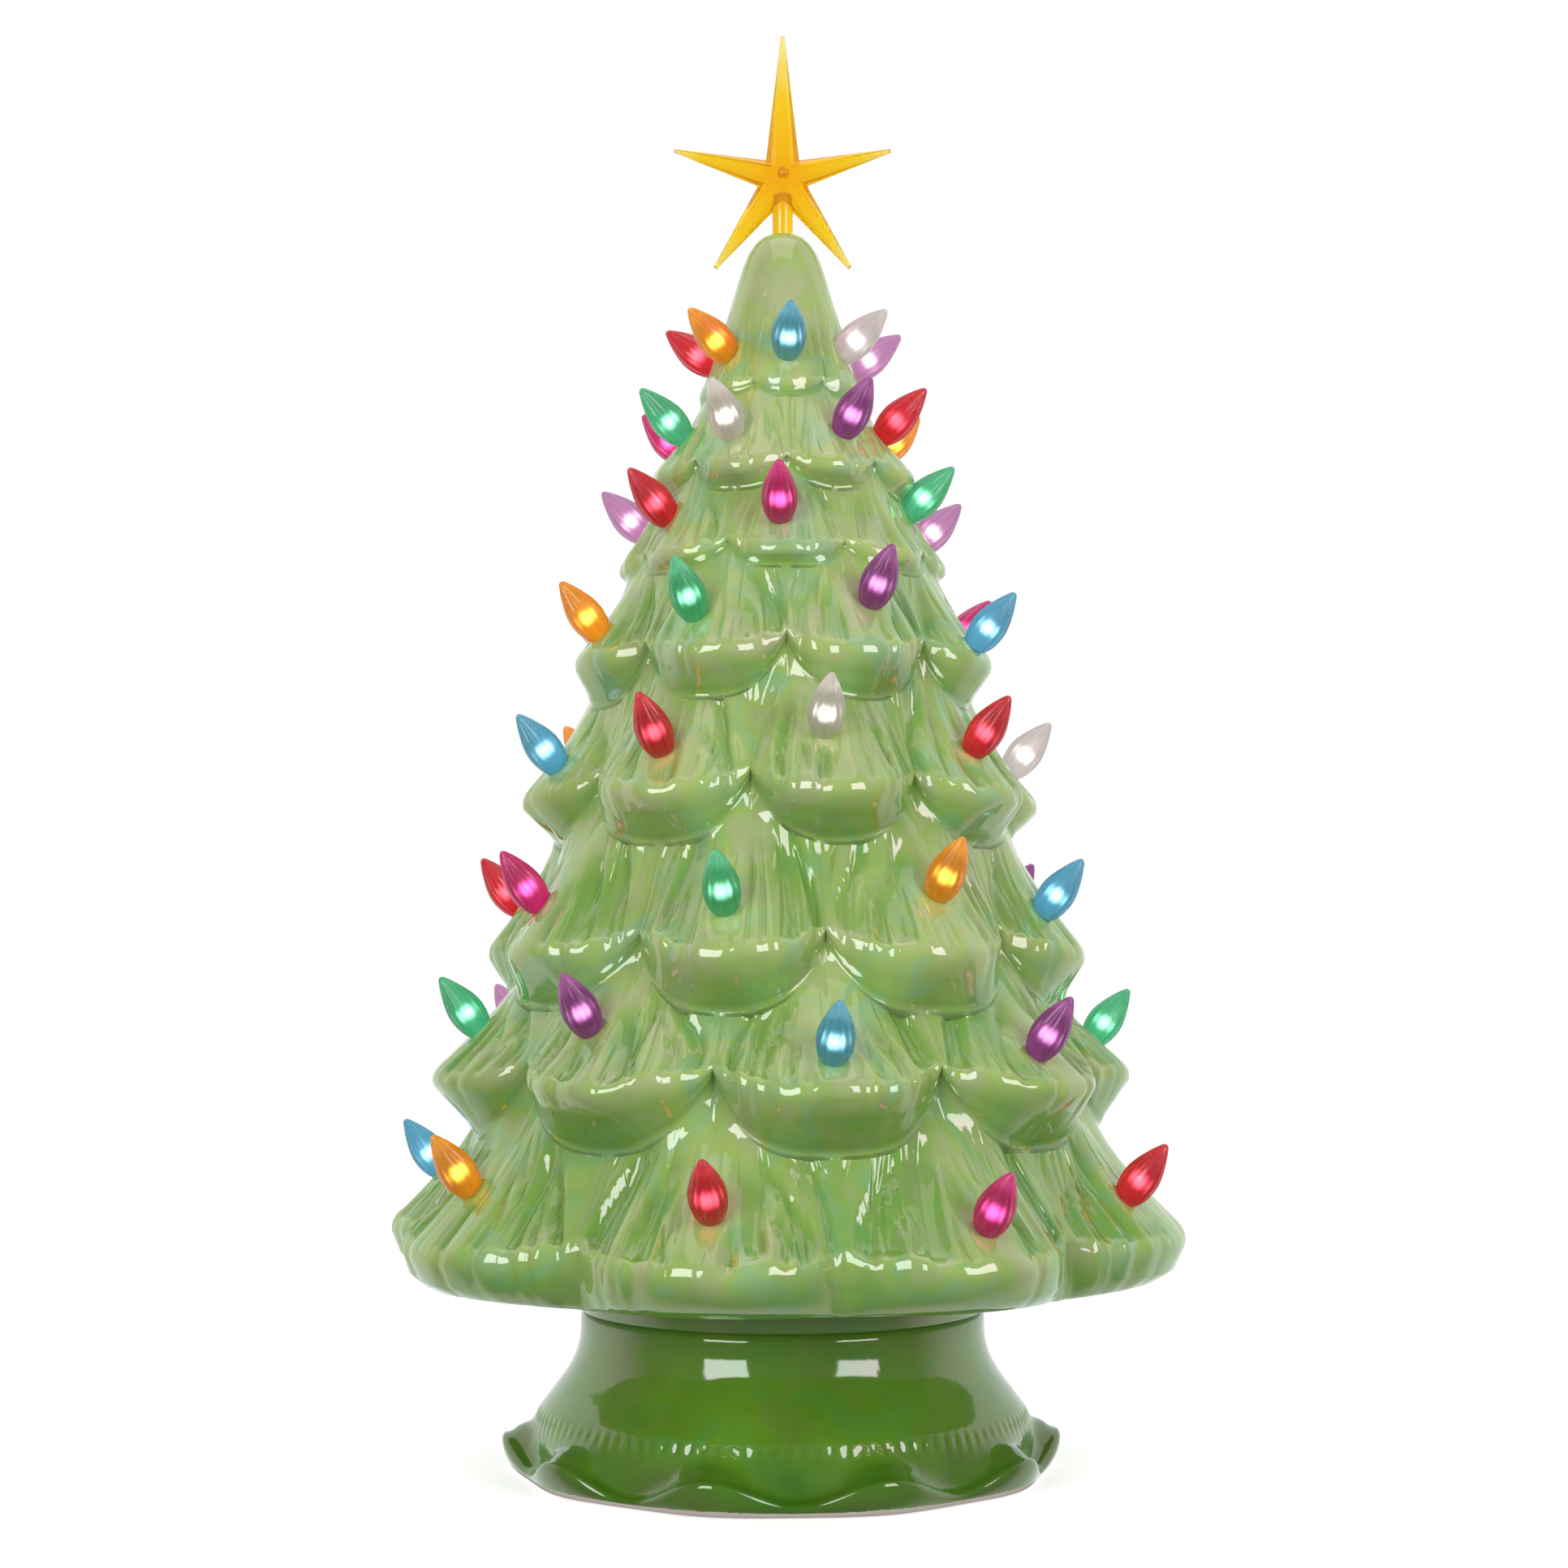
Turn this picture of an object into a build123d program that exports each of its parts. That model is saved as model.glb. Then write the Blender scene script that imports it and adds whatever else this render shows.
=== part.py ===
from build123d import *
import math
import os

os.makedirs("parts", exist_ok=True)

# Ceramic tree
tree_height = 295.0
skirt_radius = 109.0
ceramic_wall = 5.0
bough_edge = 3.0
crown_root_share = 0.936
root_tuck_share = 0.965
root_cleft_share = 0.15
under_tuck_share = 0.93
under_cleft_share = 0.35
edge_draw_share = 0.45
skirt_tuck_share = 0.84
foot_collar_height = 9.0

# Boughs of each tier, from the crown down: height of the ridge and drop of its underside as shares of the
# tree's height; radius at the tips, radius where the slope starts and depth of the clefts as shares of the
# skirt radius
tier_height_shares = (0.8475, 0.7661, 0.6847, 0.5915, 0.4678, 0.3288, 0.2169, 0.0763)
tier_drop_shares = (0.030, 0.034, 0.027, 0.078, 0.068, 0.102, 0.095, 0.045)
tier_radius_shares = (0.2156, 0.3486, 0.4170, 0.5459, 0.6606, 0.7615, 0.8807, 1.0)
tier_root_shares = (0.128, 0.202, 0.294, 0.381, 0.436, 0.523, 0.615, 0.697)
tier_cleft_shares = (0.026, 0.046, 0.056, 0.083, 0.128, 0.138, 0.142, 0.142)
slope_step_shares = (0.36, 0.70, 0.93)
hollow_step_shares = (0.5,)
slope_flare = 1.3

# Clefts between the boughs of each tier, from the crown down, as azimuths: 0 faces the front, and they grow
# towards +X
tier_cleft_azimuths = (
    (-73, -22, 30, 81, 133, 184, 235),
    (-43, 2, 47, 92, 137, 182, 227, 272),
    (-66, -21, 24, 69, 114, 159, 204, 249),
    (-44, 1, 46, 91, 136, 181, 226, 271),
    (-100, -54, -8, 35, 79, 123, 168, 214),
    (-78, -31, 9, 54, 99, 144, 190, 236),
    (-95, -52, -12, 29, 72, 118, 166, 215),
    (-118, -81, -31, 9, 48, 100, 145, 192),
)

# Rounded crown above the top tier, as shares of the crown's height and of the top tier's radius
crown_height_shares = (0.42, 0.63, 0.80, 0.92)
crown_radius_shares = (0.70, 0.60, 0.50, 0.32)
crown_rise = (-0.3, 1)

# Pedestal
pedestal_height = 42.0
neck_radius = 54.6
flare_foot_radius = 66.0
flare_foot_height = 15.5
flare_top_height = 34.0
flare_mid_radius_share = 0.29
flare_mid_height_share = 0.56
ruffle_radius = 73.0
ruffle_height = 17.0
ruffle_wave = 2.2
ruffle_waves = 10
ruffle_crest_azimuth = -15.0
ruffle_height_shares = (0.0, 0.20, 0.38, 0.65, 0.79, 1.0)
ruffle_radius_shares = (0.952, 0.995, 1.0, 0.965, 0.930, 0.863)
ruffle_wave_shares = (0.45, 0.85, 1.0, 1.0, 0.80, 0.20)
wave_points = 4
foot_opening_radius = 60.0
pedestal_wall = 5.0
deck_thickness = 5.0
lip_width = 4.0
lip_height = 5.0
lip_reach = 8.6
seat_clearance = 0.6

# Star topper
star_height = 394.0
star_top_reach = 39.6
star_side_reach = 30.2
star_side_rise = 6.9
star_foot_reach = 18.8
star_foot_drop = 26.4
star_notch_radius = 7.0
star_half_thickness = 2.4
star_crest_share = 0.30
star_peg_radius = 2.9
star_peg_depth = 14.0
star_peg_rise = 12.0
peg_clearance = 0.1

# Push-in bulbs
bulb_radius = 4.8
bulb_length = 18.4
bulb_height_shares = (0.0, 0.14, 0.36, 0.60, 0.82, 0.95)
bulb_radius_shares = (0.62, 0.86, 1.0, 0.84, 0.50, 0.24)
bulb_foot_rise = (0.5, 1)
bulb_peg_radius = 2.2
bulb_peg_length = 9.0
bulb_sink = 1.2
bulb_elevations = (38, 45, 45, 50, 50, 52, 52, 52)
bulb_hole_length = 13.0
pocket_clearance = 0.3

# Bulbs on each tier, from the crown down: azimuth, share of the slope from root to ridge, and colour
bulb_slope_shares = (
    (
        (-50, 0.66, "orange"), (4, 0.69, "blue"), (60, 0.63, "clear"), (99, 0.71, "lilac"),
        (158, 0.68, "green"), (-150, 0.68, "magenta"), (-100, 0.66, "red"),
    ),
    (
        (-68, 0.56, "green"), (-26, 0.64, "clear"), (34, 0.60, "purple"), (71, 0.54, "red"),
        (114, 0.60, "orange"), (160, 0.60, "blue"), (-156, 0.60, "purple"), (-111, 0.60, "magenta"),
    ),
    (
        (-56, 0.56, "red"), (-1, 0.65, "magenta"), (80, 0.40, "green"), (103, 0.69, "lilac"),
        (150, 0.60, "clear"), (-147, 0.60, "orange"), (-96, 0.59, "lilac"),
    ),
    (
        (-65, 0.76, "orange"), (-26, 0.67, "green"), (28, 0.54, "purple"), (67, 0.86, "blue"),
        (112, 0.70, "magenta"), (156, 0.70, "green"), (-158, 0.70, "red"), (-112, 0.70, "clear"),
    ),
    (
        (-69, 0.79, "blue"), (-29, 0.73, "red"), (10, 0.61, "clear"), (53, 0.70, "red"),
        (98, 0.76, "clear"), (145, 0.72, "lilac"), (-169, 0.72, "green"), (-122, 0.72, "orange"),
    ),
    (
        (-60, 0.72, "magenta"), (-11, 0.75, "green"), (33, 0.66, "orange"), (69, 0.76, "blue"),
        (121, 0.73, "purple"), (166, 0.73, "clear"), (-147, 0.73, "blue"), (-97, 0.72, "red"),
    ),
    (
        (-75, 0.64, "green"), (-36, 0.60, "purple"), (8, 0.79, "blue"), (47, 0.78, "purple"),
        (98, 0.75, "green"), (142, 0.72, "orange"), (-170, 0.72, "magenta"), (-120, 0.72, "lilac"),
    ),
    (
        (-98, 0.67, "blue"), (-56, 0.66, "orange"), (-10, 0.72, "red"), (29, 0.81, "magenta"),
        (66, 0.74, "red"), (122, 0.74, "lilac"), (168, 0.74, "clear"), (-144, 0.74, "green"),
    ),
)

# Lamp housing that plugs the pedestal from below
plate_height = 4.0
plate_thickness = 2.5
housing_wall = 2.5
roof_thickness = 2.0
collar_lip = 1.2
collar_width = 3.0
collar_grip = 2.0
fit_clearance = 0.1
easy_clearance = 0.3

# Cells and contacts
cell_radius = 7.25
cell_length = 50.5
cell_nub_radius = 2.75
cell_nub_length = 1.3
cell_gap = 0.8
cell_count = 3
contact_thickness = 0.5
contact_width = 10.0
contact_height = 11.0
contact_reach = 1.65
contact_dimple_radius = 2.5
contact_dimple_taper = 25.0
contact_tab_width = 3.0
contact_tab_rise = 3.6

# Battery door
door_thickness = 2.0
door_pin_radius = 1.0
door_pin_length = 3.4
door_barrel_radius = 1.6
door_overlap = 3.5
hinge_set = 3.5
door_edge_gap = 0.5
running_clearance = 0.05
lug_width = 4.0
lug_length = 6.0
lug_height = 2.5
finger_notch_radius = 6.0
finger_notch_set = 3.0

# Lamp board, diodes and diffuser
board_radius = 16.0
board_thickness = 1.6
board_post_height = 3.0
board_post_radius = 2.5
board_post_circle = 12.5
board_post_count = 3
screw_radius = 1.0
screw_head_radius = 2.0
screw_head_height = 1.4
screw_bite = 3.4
switch_screw_bite = 2.0
led_radius = 2.5
led_rim_radius = 2.9
led_rim_height = 1.0
led_height = 8.6
led_circle = 8.0
led_ring_count = 4
dome_radius = 22.0
dome_wall = 1.5
dome_height = 38.0
dome_ring_width = 2.3
dome_ring_height = 2.0
dome_notch_width = 12.0
dome_notch_height = 4.5

# Slide switch
switch_reach = 40.0
switch_width = 7.0
switch_length = 12.0
switch_height = 6.0
switch_ear_length = 4.0
switch_ear_thickness = 1.5
switch_shell = 1.4
slider_length = 6.0
slider_thickness = 3.0
slider_knob_width = 2.6
slider_knob_length = 3.0
slider_knob_drop = 1.6
slider_travel = 4.0
terminal_radius = 0.6
terminal_height = 2.5
terminal_spacing = 7.0

# Insulated leads
lead_radius = 0.7
lead_bend = 4.0
lead_positive_turn = 125.0
dome_notch_turns = (0.0, lead_positive_turn)

cut_overrun = 2.0

# Heights, radii and places that follow from the sizes above
tree_foot = pedestal_height
crown_top = tree_foot + tree_height
ridge_heights = [tree_foot + tree_height * share for share in tier_height_shares]
root_heights = [tree_foot + tree_height * crown_root_share] + ridge_heights[:-1]
tip_radii = [skirt_radius * share for share in tier_radius_shares]
root_radii = [skirt_radius * share for share in tier_root_shares]
cleft_depths = [skirt_radius * share for share in tier_cleft_shares]
under_radii = [radius * under_tuck_share for radius in root_radii[1:]] + [skirt_radius * skirt_tuck_share]
under_heights = [
    height - tree_height * share for height, share in zip(ridge_heights, tier_drop_shares)
]
crown_foot = ridge_heights[0]
star_centre = star_height - star_top_reach
star_peg_top = crown_top + star_peg_rise
deck_hole_radius = neck_radius - lip_reach - lip_width
lip_radius = neck_radius - lip_reach
tree_mouth_radius = lip_radius + seat_clearance
plate_top = plate_height + plate_thickness
plate_radius = foot_opening_radius - collar_width
collar_radius = foot_opening_radius - fit_clearance
collar_bottom = plate_height - fit_clearance - collar_lip
collar_top = plate_top + fit_clearance + collar_lip
cell_pitch = 2 * cell_radius + cell_gap
cell_places = [cell_pitch * (index - (cell_count - 1) / 2) for index in range(cell_count)]
bay_half_width = cell_pitch * cell_count / 2
contact_face = cell_length / 2 + contact_reach
bay_half_length = contact_face + contact_thickness + fit_clearance
bay_ceiling = plate_top + cell_gap + 2 * cell_radius + fit_clearance
cell_height = bay_ceiling - fit_clearance - cell_radius
roof_top = bay_ceiling + roof_thickness
tab_reach = contact_face + contact_thickness / 2
tab_places = ((cell_places[0], tab_reach), (cell_places[-1], -tab_reach))
tab_top = roof_top + contact_tab_rise
stand = (Align.CENTER, Align.CENTER, Align.MIN)
hang = (Align.CENTER, Align.CENTER, Align.MAX)
door_half_width = bay_half_width + housing_wall / 2 - easy_clearance
door_far = bay_half_length + door_overlap
hinge_reach = bay_half_length + housing_wall + hinge_set
hinge_height = plate_height + door_thickness
door_swing = max(door_barrel_radius, door_thickness)
lug_centre = door_half_width + easy_clearance + lug_width / 2
board_height = roof_top + board_post_height
board_top = board_height + board_thickness
dome_ring_radius = dome_radius - dome_wall - easy_clearance
lead_height = board_height - fit_clearance - lead_radius
lead_reach = board_radius - 2 * lead_radius
bulb_foot_radius = bulb_radius * bulb_radius_shares[0]
slider_width = switch_width - 2 * switch_shell - 2 * fit_clearance
slider_rest = -slider_travel / 2
switch_top = plate_top + switch_height
ear_offset = (switch_length + switch_ear_length) / 2
terminal_top = switch_top + terminal_height


def azimuth_vector(azimuth):
    """Level unit vector: azimuth 0 faces the front, and it grows towards +X."""
    angle = math.radians(azimuth)
    return Vector(math.sin(angle), -math.cos(angle), 0)


def slope_ring(tier, share):
    """Tip radius, cleft depth and height at a share of a tier's slope, from its root to its ridge."""
    radius = root_radii[tier] + (tip_radii[tier] - root_radii[tier]) * share ** slope_flare
    height = root_heights[tier] + (ridge_heights[tier] - root_heights[tier]) * share
    return radius, cleft_depths[tier] * share, height


def bough_rings(tier, step_shares):
    """Lobed outlines of one tier, from its hidden root over its ridge to the end of its underside."""
    root_cleft = cleft_depths[tier] * root_cleft_share
    edge_radius = tip_radii[tier] - bough_edge * edge_draw_share
    rings = [(root_radii[tier] * root_tuck_share, root_cleft, root_heights[tier] + bough_edge)]
    rings += [slope_ring(tier, share) for share in step_shares]
    rings.append((tip_radii[tier], cleft_depths[tier], ridge_heights[tier]))
    rings.append((edge_radius, cleft_depths[tier], ridge_heights[tier] - bough_edge))
    rings.append((under_radii[tier], cleft_depths[tier] * under_cleft_share, under_heights[tier]))
    return rings


def lobe_spans(tier):
    """First and last azimuth of each bough of a tier."""
    clefts = tier_cleft_azimuths[tier]
    return list(zip(clefts, clefts[1:] + (clefts[0] + 360,)))


def lobe_arcs(tier, radius, depth):
    """Cleft, tip and next cleft of each bough round one outline."""
    return [
        (
            azimuth_vector(first) * (radius - depth),
            azimuth_vector((first + last) / 2) * radius,
            azimuth_vector(last) * (radius - depth),
        )
        for first, last in lobe_spans(tier)
    ]


def lobe_radius(tier, radius, depth, azimuth):
    """Radius of a lobed outline at an azimuth: each bough is one arc from cleft to cleft."""
    first, last = next(
        (first, last) for first, last in lobe_spans(tier) if (azimuth - first) % 360 <= last - first
    )
    half = math.radians((last - first) / 2)
    turn = math.radians((azimuth - first) % 360) - half
    rise = radius - (radius - depth) * math.cos(half)
    arc_radius = (((radius - depth) * math.sin(half)) ** 2 + rise ** 2) / (2 * rise)
    arc_centre = radius - arc_radius
    return arc_centre * math.cos(turn) + math.sqrt(arc_radius ** 2 - (arc_centre * math.sin(turn)) ** 2)


def bulb_seat(tier, azimuth, share):
    """Seat of a bulb: sunk a little below the slope, with its axis out and up."""
    radius, depth, height = slope_ring(tier, share)
    outward = azimuth_vector(azimuth)
    lean = math.radians(bulb_elevations[tier])
    axis = outward * math.cos(lean) + Vector(0, 0, 1) * math.sin(lean)
    surface = outward * lobe_radius(tier, radius, depth, azimuth) + Vector(0, 0, height)
    return Plane(origin=surface - axis * bulb_sink, z_dir=axis).location


def finish(builder, name):
    """Name a finished piece and write it."""
    builder.part.label = name
    export_step(builder.part, f"parts/{name}.step")


bulb_seats = {}
for tier, places in enumerate(bulb_slope_shares):
    for azimuth, share, colour in places:
        bulb_seats.setdefault(colour, []).append(bulb_seat(tier, azimuth, share))

# Hollow of the tree: the same tiers, drawn in and raised by the wall
with BuildPart() as tree_hollow:
    for tier in range(len(tier_height_shares)):
        for radius, depth, height in bough_rings(tier, hollow_step_shares):
            with BuildSketch(Plane.XY.offset(height + ceramic_wall)):
                with BuildLine():
                    for start, tip, end in lobe_arcs(tier, radius - 2 * ceramic_wall, depth):
                        ThreePointArc(start, tip, end)
                make_face()
        loft(ruled=True, clean=False)

# Tree: tiers of lobed boughs with a rounded crown and a plain foot collar, cast hollow
with BuildPart() as tree_shell:
    for tier in range(len(tier_height_shares)):
        for radius, depth, height in bough_rings(tier, slope_step_shares):
            with BuildSketch(Plane.XY.offset(height)):
                with BuildLine():
                    for start, tip, end in lobe_arcs(tier, radius, depth):
                        ThreePointArc(start, tip, end)
                make_face()
        loft(ruled=True, clean=False)
    with BuildSketch(Plane.XZ):
        with BuildLine():
            crown_points = [
                (tip_radii[0] * radius_share, crown_foot + (crown_top - crown_foot) * height_share)
                for radius_share, height_share in zip(crown_radius_shares, crown_height_shares)
            ]
            Spline(*crown_points, (0, crown_top), tangents=(crown_rise, (-1, 0)))
            Polyline((0, crown_top), (0, crown_foot), (crown_points[0][0], crown_foot), crown_points[0])
        make_face()
    revolve(axis=Axis.Z)
    with BuildSketch(Plane.XY.offset(tree_foot)):
        Circle(neck_radius)
    extrude(until=Until.NEXT)
    add(tree_hollow.part, mode=Mode.SUBTRACT)
    with BuildSketch(Plane.XY.offset(tree_foot)):
        Circle(tree_mouth_radius)
    extrude(amount=foot_collar_height + 2 * ceramic_wall, mode=Mode.SUBTRACT)
    with BuildSketch(Plane.XY.offset(crown_top)):
        Circle(star_peg_radius + peg_clearance)
    extrude(amount=-(star_peg_depth + cut_overrun), mode=Mode.SUBTRACT)
    with Locations(*[seat for seats in bulb_seats.values() for seat in seats]):
        Cylinder(
            bulb_radius + pocket_clearance,
            bulb_length,
            align=stand,
            mode=Mode.SUBTRACT,
        )
        Cylinder(
            bulb_peg_radius + peg_clearance,
            bulb_hole_length,
            align=hang,
            mode=Mode.SUBTRACT,
        )
finish(tree_shell, "tree_shell")

# Pedestal: waisted neck over a ruffled foot, with a locating lip for the tree and a stepped opening below
with BuildPart() as pedestal_base:
    with BuildSketch(Plane.XZ):
        with BuildLine():
            flare_mid = (
                neck_radius + (flare_foot_radius - neck_radius) * flare_mid_radius_share,
                flare_foot_height + (flare_top_height - flare_foot_height) * flare_mid_height_share,
            )
            ThreePointArc((flare_foot_radius, flare_foot_height), flare_mid, (neck_radius, flare_top_height))
            Polyline(
                (neck_radius, flare_top_height),
                (neck_radius, pedestal_height),
                (lip_radius, pedestal_height),
                (lip_radius, pedestal_height + lip_height),
                (0, pedestal_height + lip_height),
                (0, 0),
                (flare_foot_radius, 0),
                (flare_foot_radius, flare_foot_height),
            )
        make_face()
    revolve(axis=Axis.Z)
    for height_share, radius_share, wave_share in zip(
        ruffle_height_shares, ruffle_radius_shares, ruffle_wave_shares
    ):
        ruffle_points = []
        for index in range(ruffle_waves * wave_points):
            azimuth = ruffle_crest_azimuth + 360 * index / (ruffle_waves * wave_points)
            swell = math.cos(2 * math.pi * index / wave_points)
            ruffle_points.append(
                azimuth_vector(azimuth) * (ruffle_radius * radius_share + ruffle_wave * wave_share * swell)
            )
        with BuildSketch(Plane.XY.offset(ruffle_height * height_share)):
            with BuildLine():
                Spline(*ruffle_points, periodic=True)
            make_face()
    loft(ruled=True)
    with BuildSketch(Plane.XZ):
        with BuildLine():
            Polyline(
                (0, -cut_overrun),
                (foot_opening_radius, -cut_overrun),
                (foot_opening_radius, collar_top + fit_clearance),
                (foot_opening_radius - collar_width, collar_top + fit_clearance),
                (neck_radius - pedestal_wall, flare_top_height - pedestal_wall),
                (neck_radius - pedestal_wall, pedestal_height - deck_thickness),
                (deck_hole_radius, pedestal_height - deck_thickness),
                (deck_hole_radius, pedestal_height + lip_height + cut_overrun),
                (0, pedestal_height + lip_height + cut_overrun),
                close=True,
            )
        make_face()
    revolve(axis=Axis.Z, mode=Mode.SUBTRACT)
finish(pedestal_base, "pedestal_base")

# Star topper: slender faceted star moulded on a round peg
with BuildPart() as star_topper:
    star_tips = (
        (0, star_top_reach),
        (star_side_reach, star_side_rise),
        (star_foot_reach, -star_foot_drop),
        (-star_foot_reach, -star_foot_drop),
        (-star_side_reach, star_side_rise),
    )
    star_outline = []
    for index, tip in enumerate(star_tips):
        notch_angle = math.radians(90 - 360 * (index + 0.5) / len(star_tips))
        star_outline.append(Vector(*tip))
        star_outline.append(
            Vector(star_notch_radius * math.cos(notch_angle), star_notch_radius * math.sin(notch_angle))
        )
    star_middle = Plane(origin=(0, 0, star_centre), x_dir=(1, 0, 0), z_dir=(0, -1, 0))
    for stand_off, outline_share in (
        (-star_half_thickness, star_crest_share),
        (0, 1),
        (star_half_thickness, star_crest_share),
    ):
        with BuildSketch(star_middle.offset(stand_off)):
            with BuildLine():
                Polyline(*[point * outline_share for point in star_outline], close=True)
            make_face()
    loft(ruled=True)
    with BuildSketch(Plane.XZ):
        with BuildLine():
            Polyline(
                (0, star_peg_top),
                (0, crown_top - star_peg_depth),
                (star_peg_radius, crown_top - star_peg_depth),
                (star_peg_radius, star_peg_top - star_peg_radius),
            )
            RadiusArc((star_peg_radius, star_peg_top - star_peg_radius), (0, star_peg_top), -star_peg_radius)
        make_face()
    revolve(axis=Axis.Z)
finish(star_topper, "star_topper")

# Push-in bulb: fat drop on a plain peg, the same for every colour
with BuildPart() as bulb_form:
    with BuildSketch(Plane.XZ):
        with BuildLine():
            bulb_points = [
                (bulb_radius * radius_share, bulb_length * height_share)
                for radius_share, height_share in zip(bulb_radius_shares, bulb_height_shares)
            ]
            Spline(*bulb_points, (0, bulb_length), tangents=(bulb_foot_rise, (-1, 0)))
            Polyline(
                (0, bulb_length),
                (0, -bulb_peg_length),
                (bulb_peg_radius, -bulb_peg_length),
                (bulb_peg_radius, 0),
                (bulb_foot_radius, 0),
            )
        make_face()
    revolve(axis=Axis.Z)

for colour, seats in bulb_seats.items():
    with BuildPart() as bulbs:
        with Locations(*seats):
            add(bulb_form.part)
    finish(bulbs, f"bulbs_{colour}")

# Lamp housing: round plate with an open battery bay, hinge lugs, lamp posts and a switch slot
post_places = [
    azimuth_vector(360 * index / board_post_count) * board_post_circle for index in range(board_post_count)
]
ear_places = [(switch_reach, ear_offset * side) for side in (-1, 1)]
with BuildPart() as lamp_housing:
    with BuildSketch(Plane.XY.offset(plate_height)):
        Circle(plate_radius)
    extrude(amount=plate_thickness)
    with BuildSketch(Plane.XY.offset(plate_top)):
        Rectangle(2 * (bay_half_width + housing_wall), 2 * (bay_half_length + housing_wall))
        with Locations(*[(side * lug_centre, -hinge_reach) for side in (-1, 1)]):
            Rectangle(lug_width, lug_length)
    extrude(amount=lug_height)
    with BuildSketch(Plane.XY.offset(plate_top)):
        Rectangle(2 * (bay_half_width + housing_wall), 2 * (bay_half_length + housing_wall))
    extrude(amount=roof_top - plate_top)
    with BuildSketch(Plane.XY.offset(roof_top)):
        with Locations(*post_places):
            Circle(board_post_radius)
    extrude(amount=board_post_height)
    with BuildSketch(Plane.XY.offset(roof_top)):
        Circle(dome_ring_radius)
        Circle(dome_ring_radius - dome_ring_width, mode=Mode.SUBTRACT)
    extrude(amount=dome_ring_height)
    with BuildSketch(Plane.XY.offset(plate_top)):
        Rectangle(2 * bay_half_width, 2 * bay_half_length)
    extrude(amount=bay_ceiling - plate_top, mode=Mode.SUBTRACT)
    with BuildSketch(Plane.XY.offset(plate_height)):
        with Locations((0, (door_far - hinge_reach - door_swing) / 2)):
            Rectangle(
                2 * (door_half_width + easy_clearance),
                door_far + hinge_reach + door_swing + 2 * door_edge_gap,
            )
    extrude(amount=plate_thickness, mode=Mode.SUBTRACT)
    with Locations(Plane(origin=(0, -hinge_reach, hinge_height), z_dir=(1, 0, 0))):
        Cylinder(
            door_pin_radius + running_clearance,
            2 * (door_half_width + door_pin_length + easy_clearance),
            mode=Mode.SUBTRACT,
        )
    with BuildSketch(Plane.XY.offset(bay_ceiling)):
        with Locations(*tab_places):
            Rectangle(contact_tab_width + 2 * easy_clearance, contact_thickness + 2 * fit_clearance)
    extrude(amount=roof_thickness, mode=Mode.SUBTRACT)
    with BuildSketch(Plane.XY.offset(board_height)):
        with Locations(*post_places):
            Circle(screw_radius + running_clearance)
    extrude(amount=-(screw_bite + fit_clearance), mode=Mode.SUBTRACT)
    with BuildSketch(Plane.XY.offset(plate_height)):
        with Locations((switch_reach, 0)):
            Rectangle(
                slider_knob_width + 2 * easy_clearance,
                slider_knob_length + slider_travel + 2 * easy_clearance,
            )
    extrude(amount=plate_thickness, mode=Mode.SUBTRACT)
    with BuildSketch(Plane.XY.offset(plate_top)):
        with Locations(*ear_places):
            Circle(screw_radius + running_clearance)
    extrude(amount=-(switch_screw_bite + fit_clearance), mode=Mode.SUBTRACT)
    with BuildSketch(Plane.XY.offset(roof_top)):
        with Locations(*[Location((0, 0, 0), (0, 0, turn)) for turn in dome_notch_turns]):
            with Locations((dome_ring_radius, 0)):
                Rectangle(4 * dome_ring_width, dome_notch_width)
    extrude(amount=dome_ring_height, mode=Mode.SUBTRACT)
finish(lamp_housing, "lamp_housing")

# Soft collar round the plate's rim, gripping the pedestal's opening
with BuildPart() as rubber_collar:
    with BuildSketch(Plane.XZ):
        with BuildLine():
            Polyline(
                (collar_radius, collar_bottom),
                (collar_radius, collar_top),
                (plate_radius - collar_grip, collar_top),
                (plate_radius - collar_grip, plate_top + fit_clearance),
                (plate_radius + fit_clearance, plate_top + fit_clearance),
                (plate_radius + fit_clearance, plate_height - fit_clearance),
                (plate_radius - collar_grip, plate_height - fit_clearance),
                (plate_radius - collar_grip, collar_bottom),
                close=True,
            )
        make_face()
    revolve(axis=Axis.Z)
finish(rubber_collar, "rubber_collar")

# Battery door: flush flap with a hinge barrel, two moulded pins and a finger notch
with BuildPart() as battery_door:
    with BuildSketch(Plane.XY.offset(plate_height)):
        with Locations((0, (door_far - hinge_reach) / 2)):
            Rectangle(2 * door_half_width, door_far + hinge_reach)
        with Locations((0, door_far + finger_notch_set)):
            Circle(finger_notch_radius, mode=Mode.SUBTRACT)
    extrude(amount=door_thickness)
    with Locations(Plane(origin=(0, -hinge_reach, hinge_height), z_dir=(1, 0, 0))):
        Cylinder(door_barrel_radius, 2 * door_half_width)
        Cylinder(door_pin_radius, 2 * (door_half_width + door_pin_length))
finish(battery_door, "battery_door")

# Cells, laid side by side with their ends alternating
for index, place in enumerate(cell_places):
    facing = 1 if index % 2 == 0 else -1
    with BuildPart() as battery:
        with Locations(Plane(origin=(place, -facing * cell_length / 2, cell_height), z_dir=(0, facing, 0))):
            Cylinder(cell_radius, cell_length - cell_nub_length, align=stand)
            Cylinder(cell_nub_radius, cell_length, align=stand)
    finish(battery, f"battery_{index + 1}")

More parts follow.
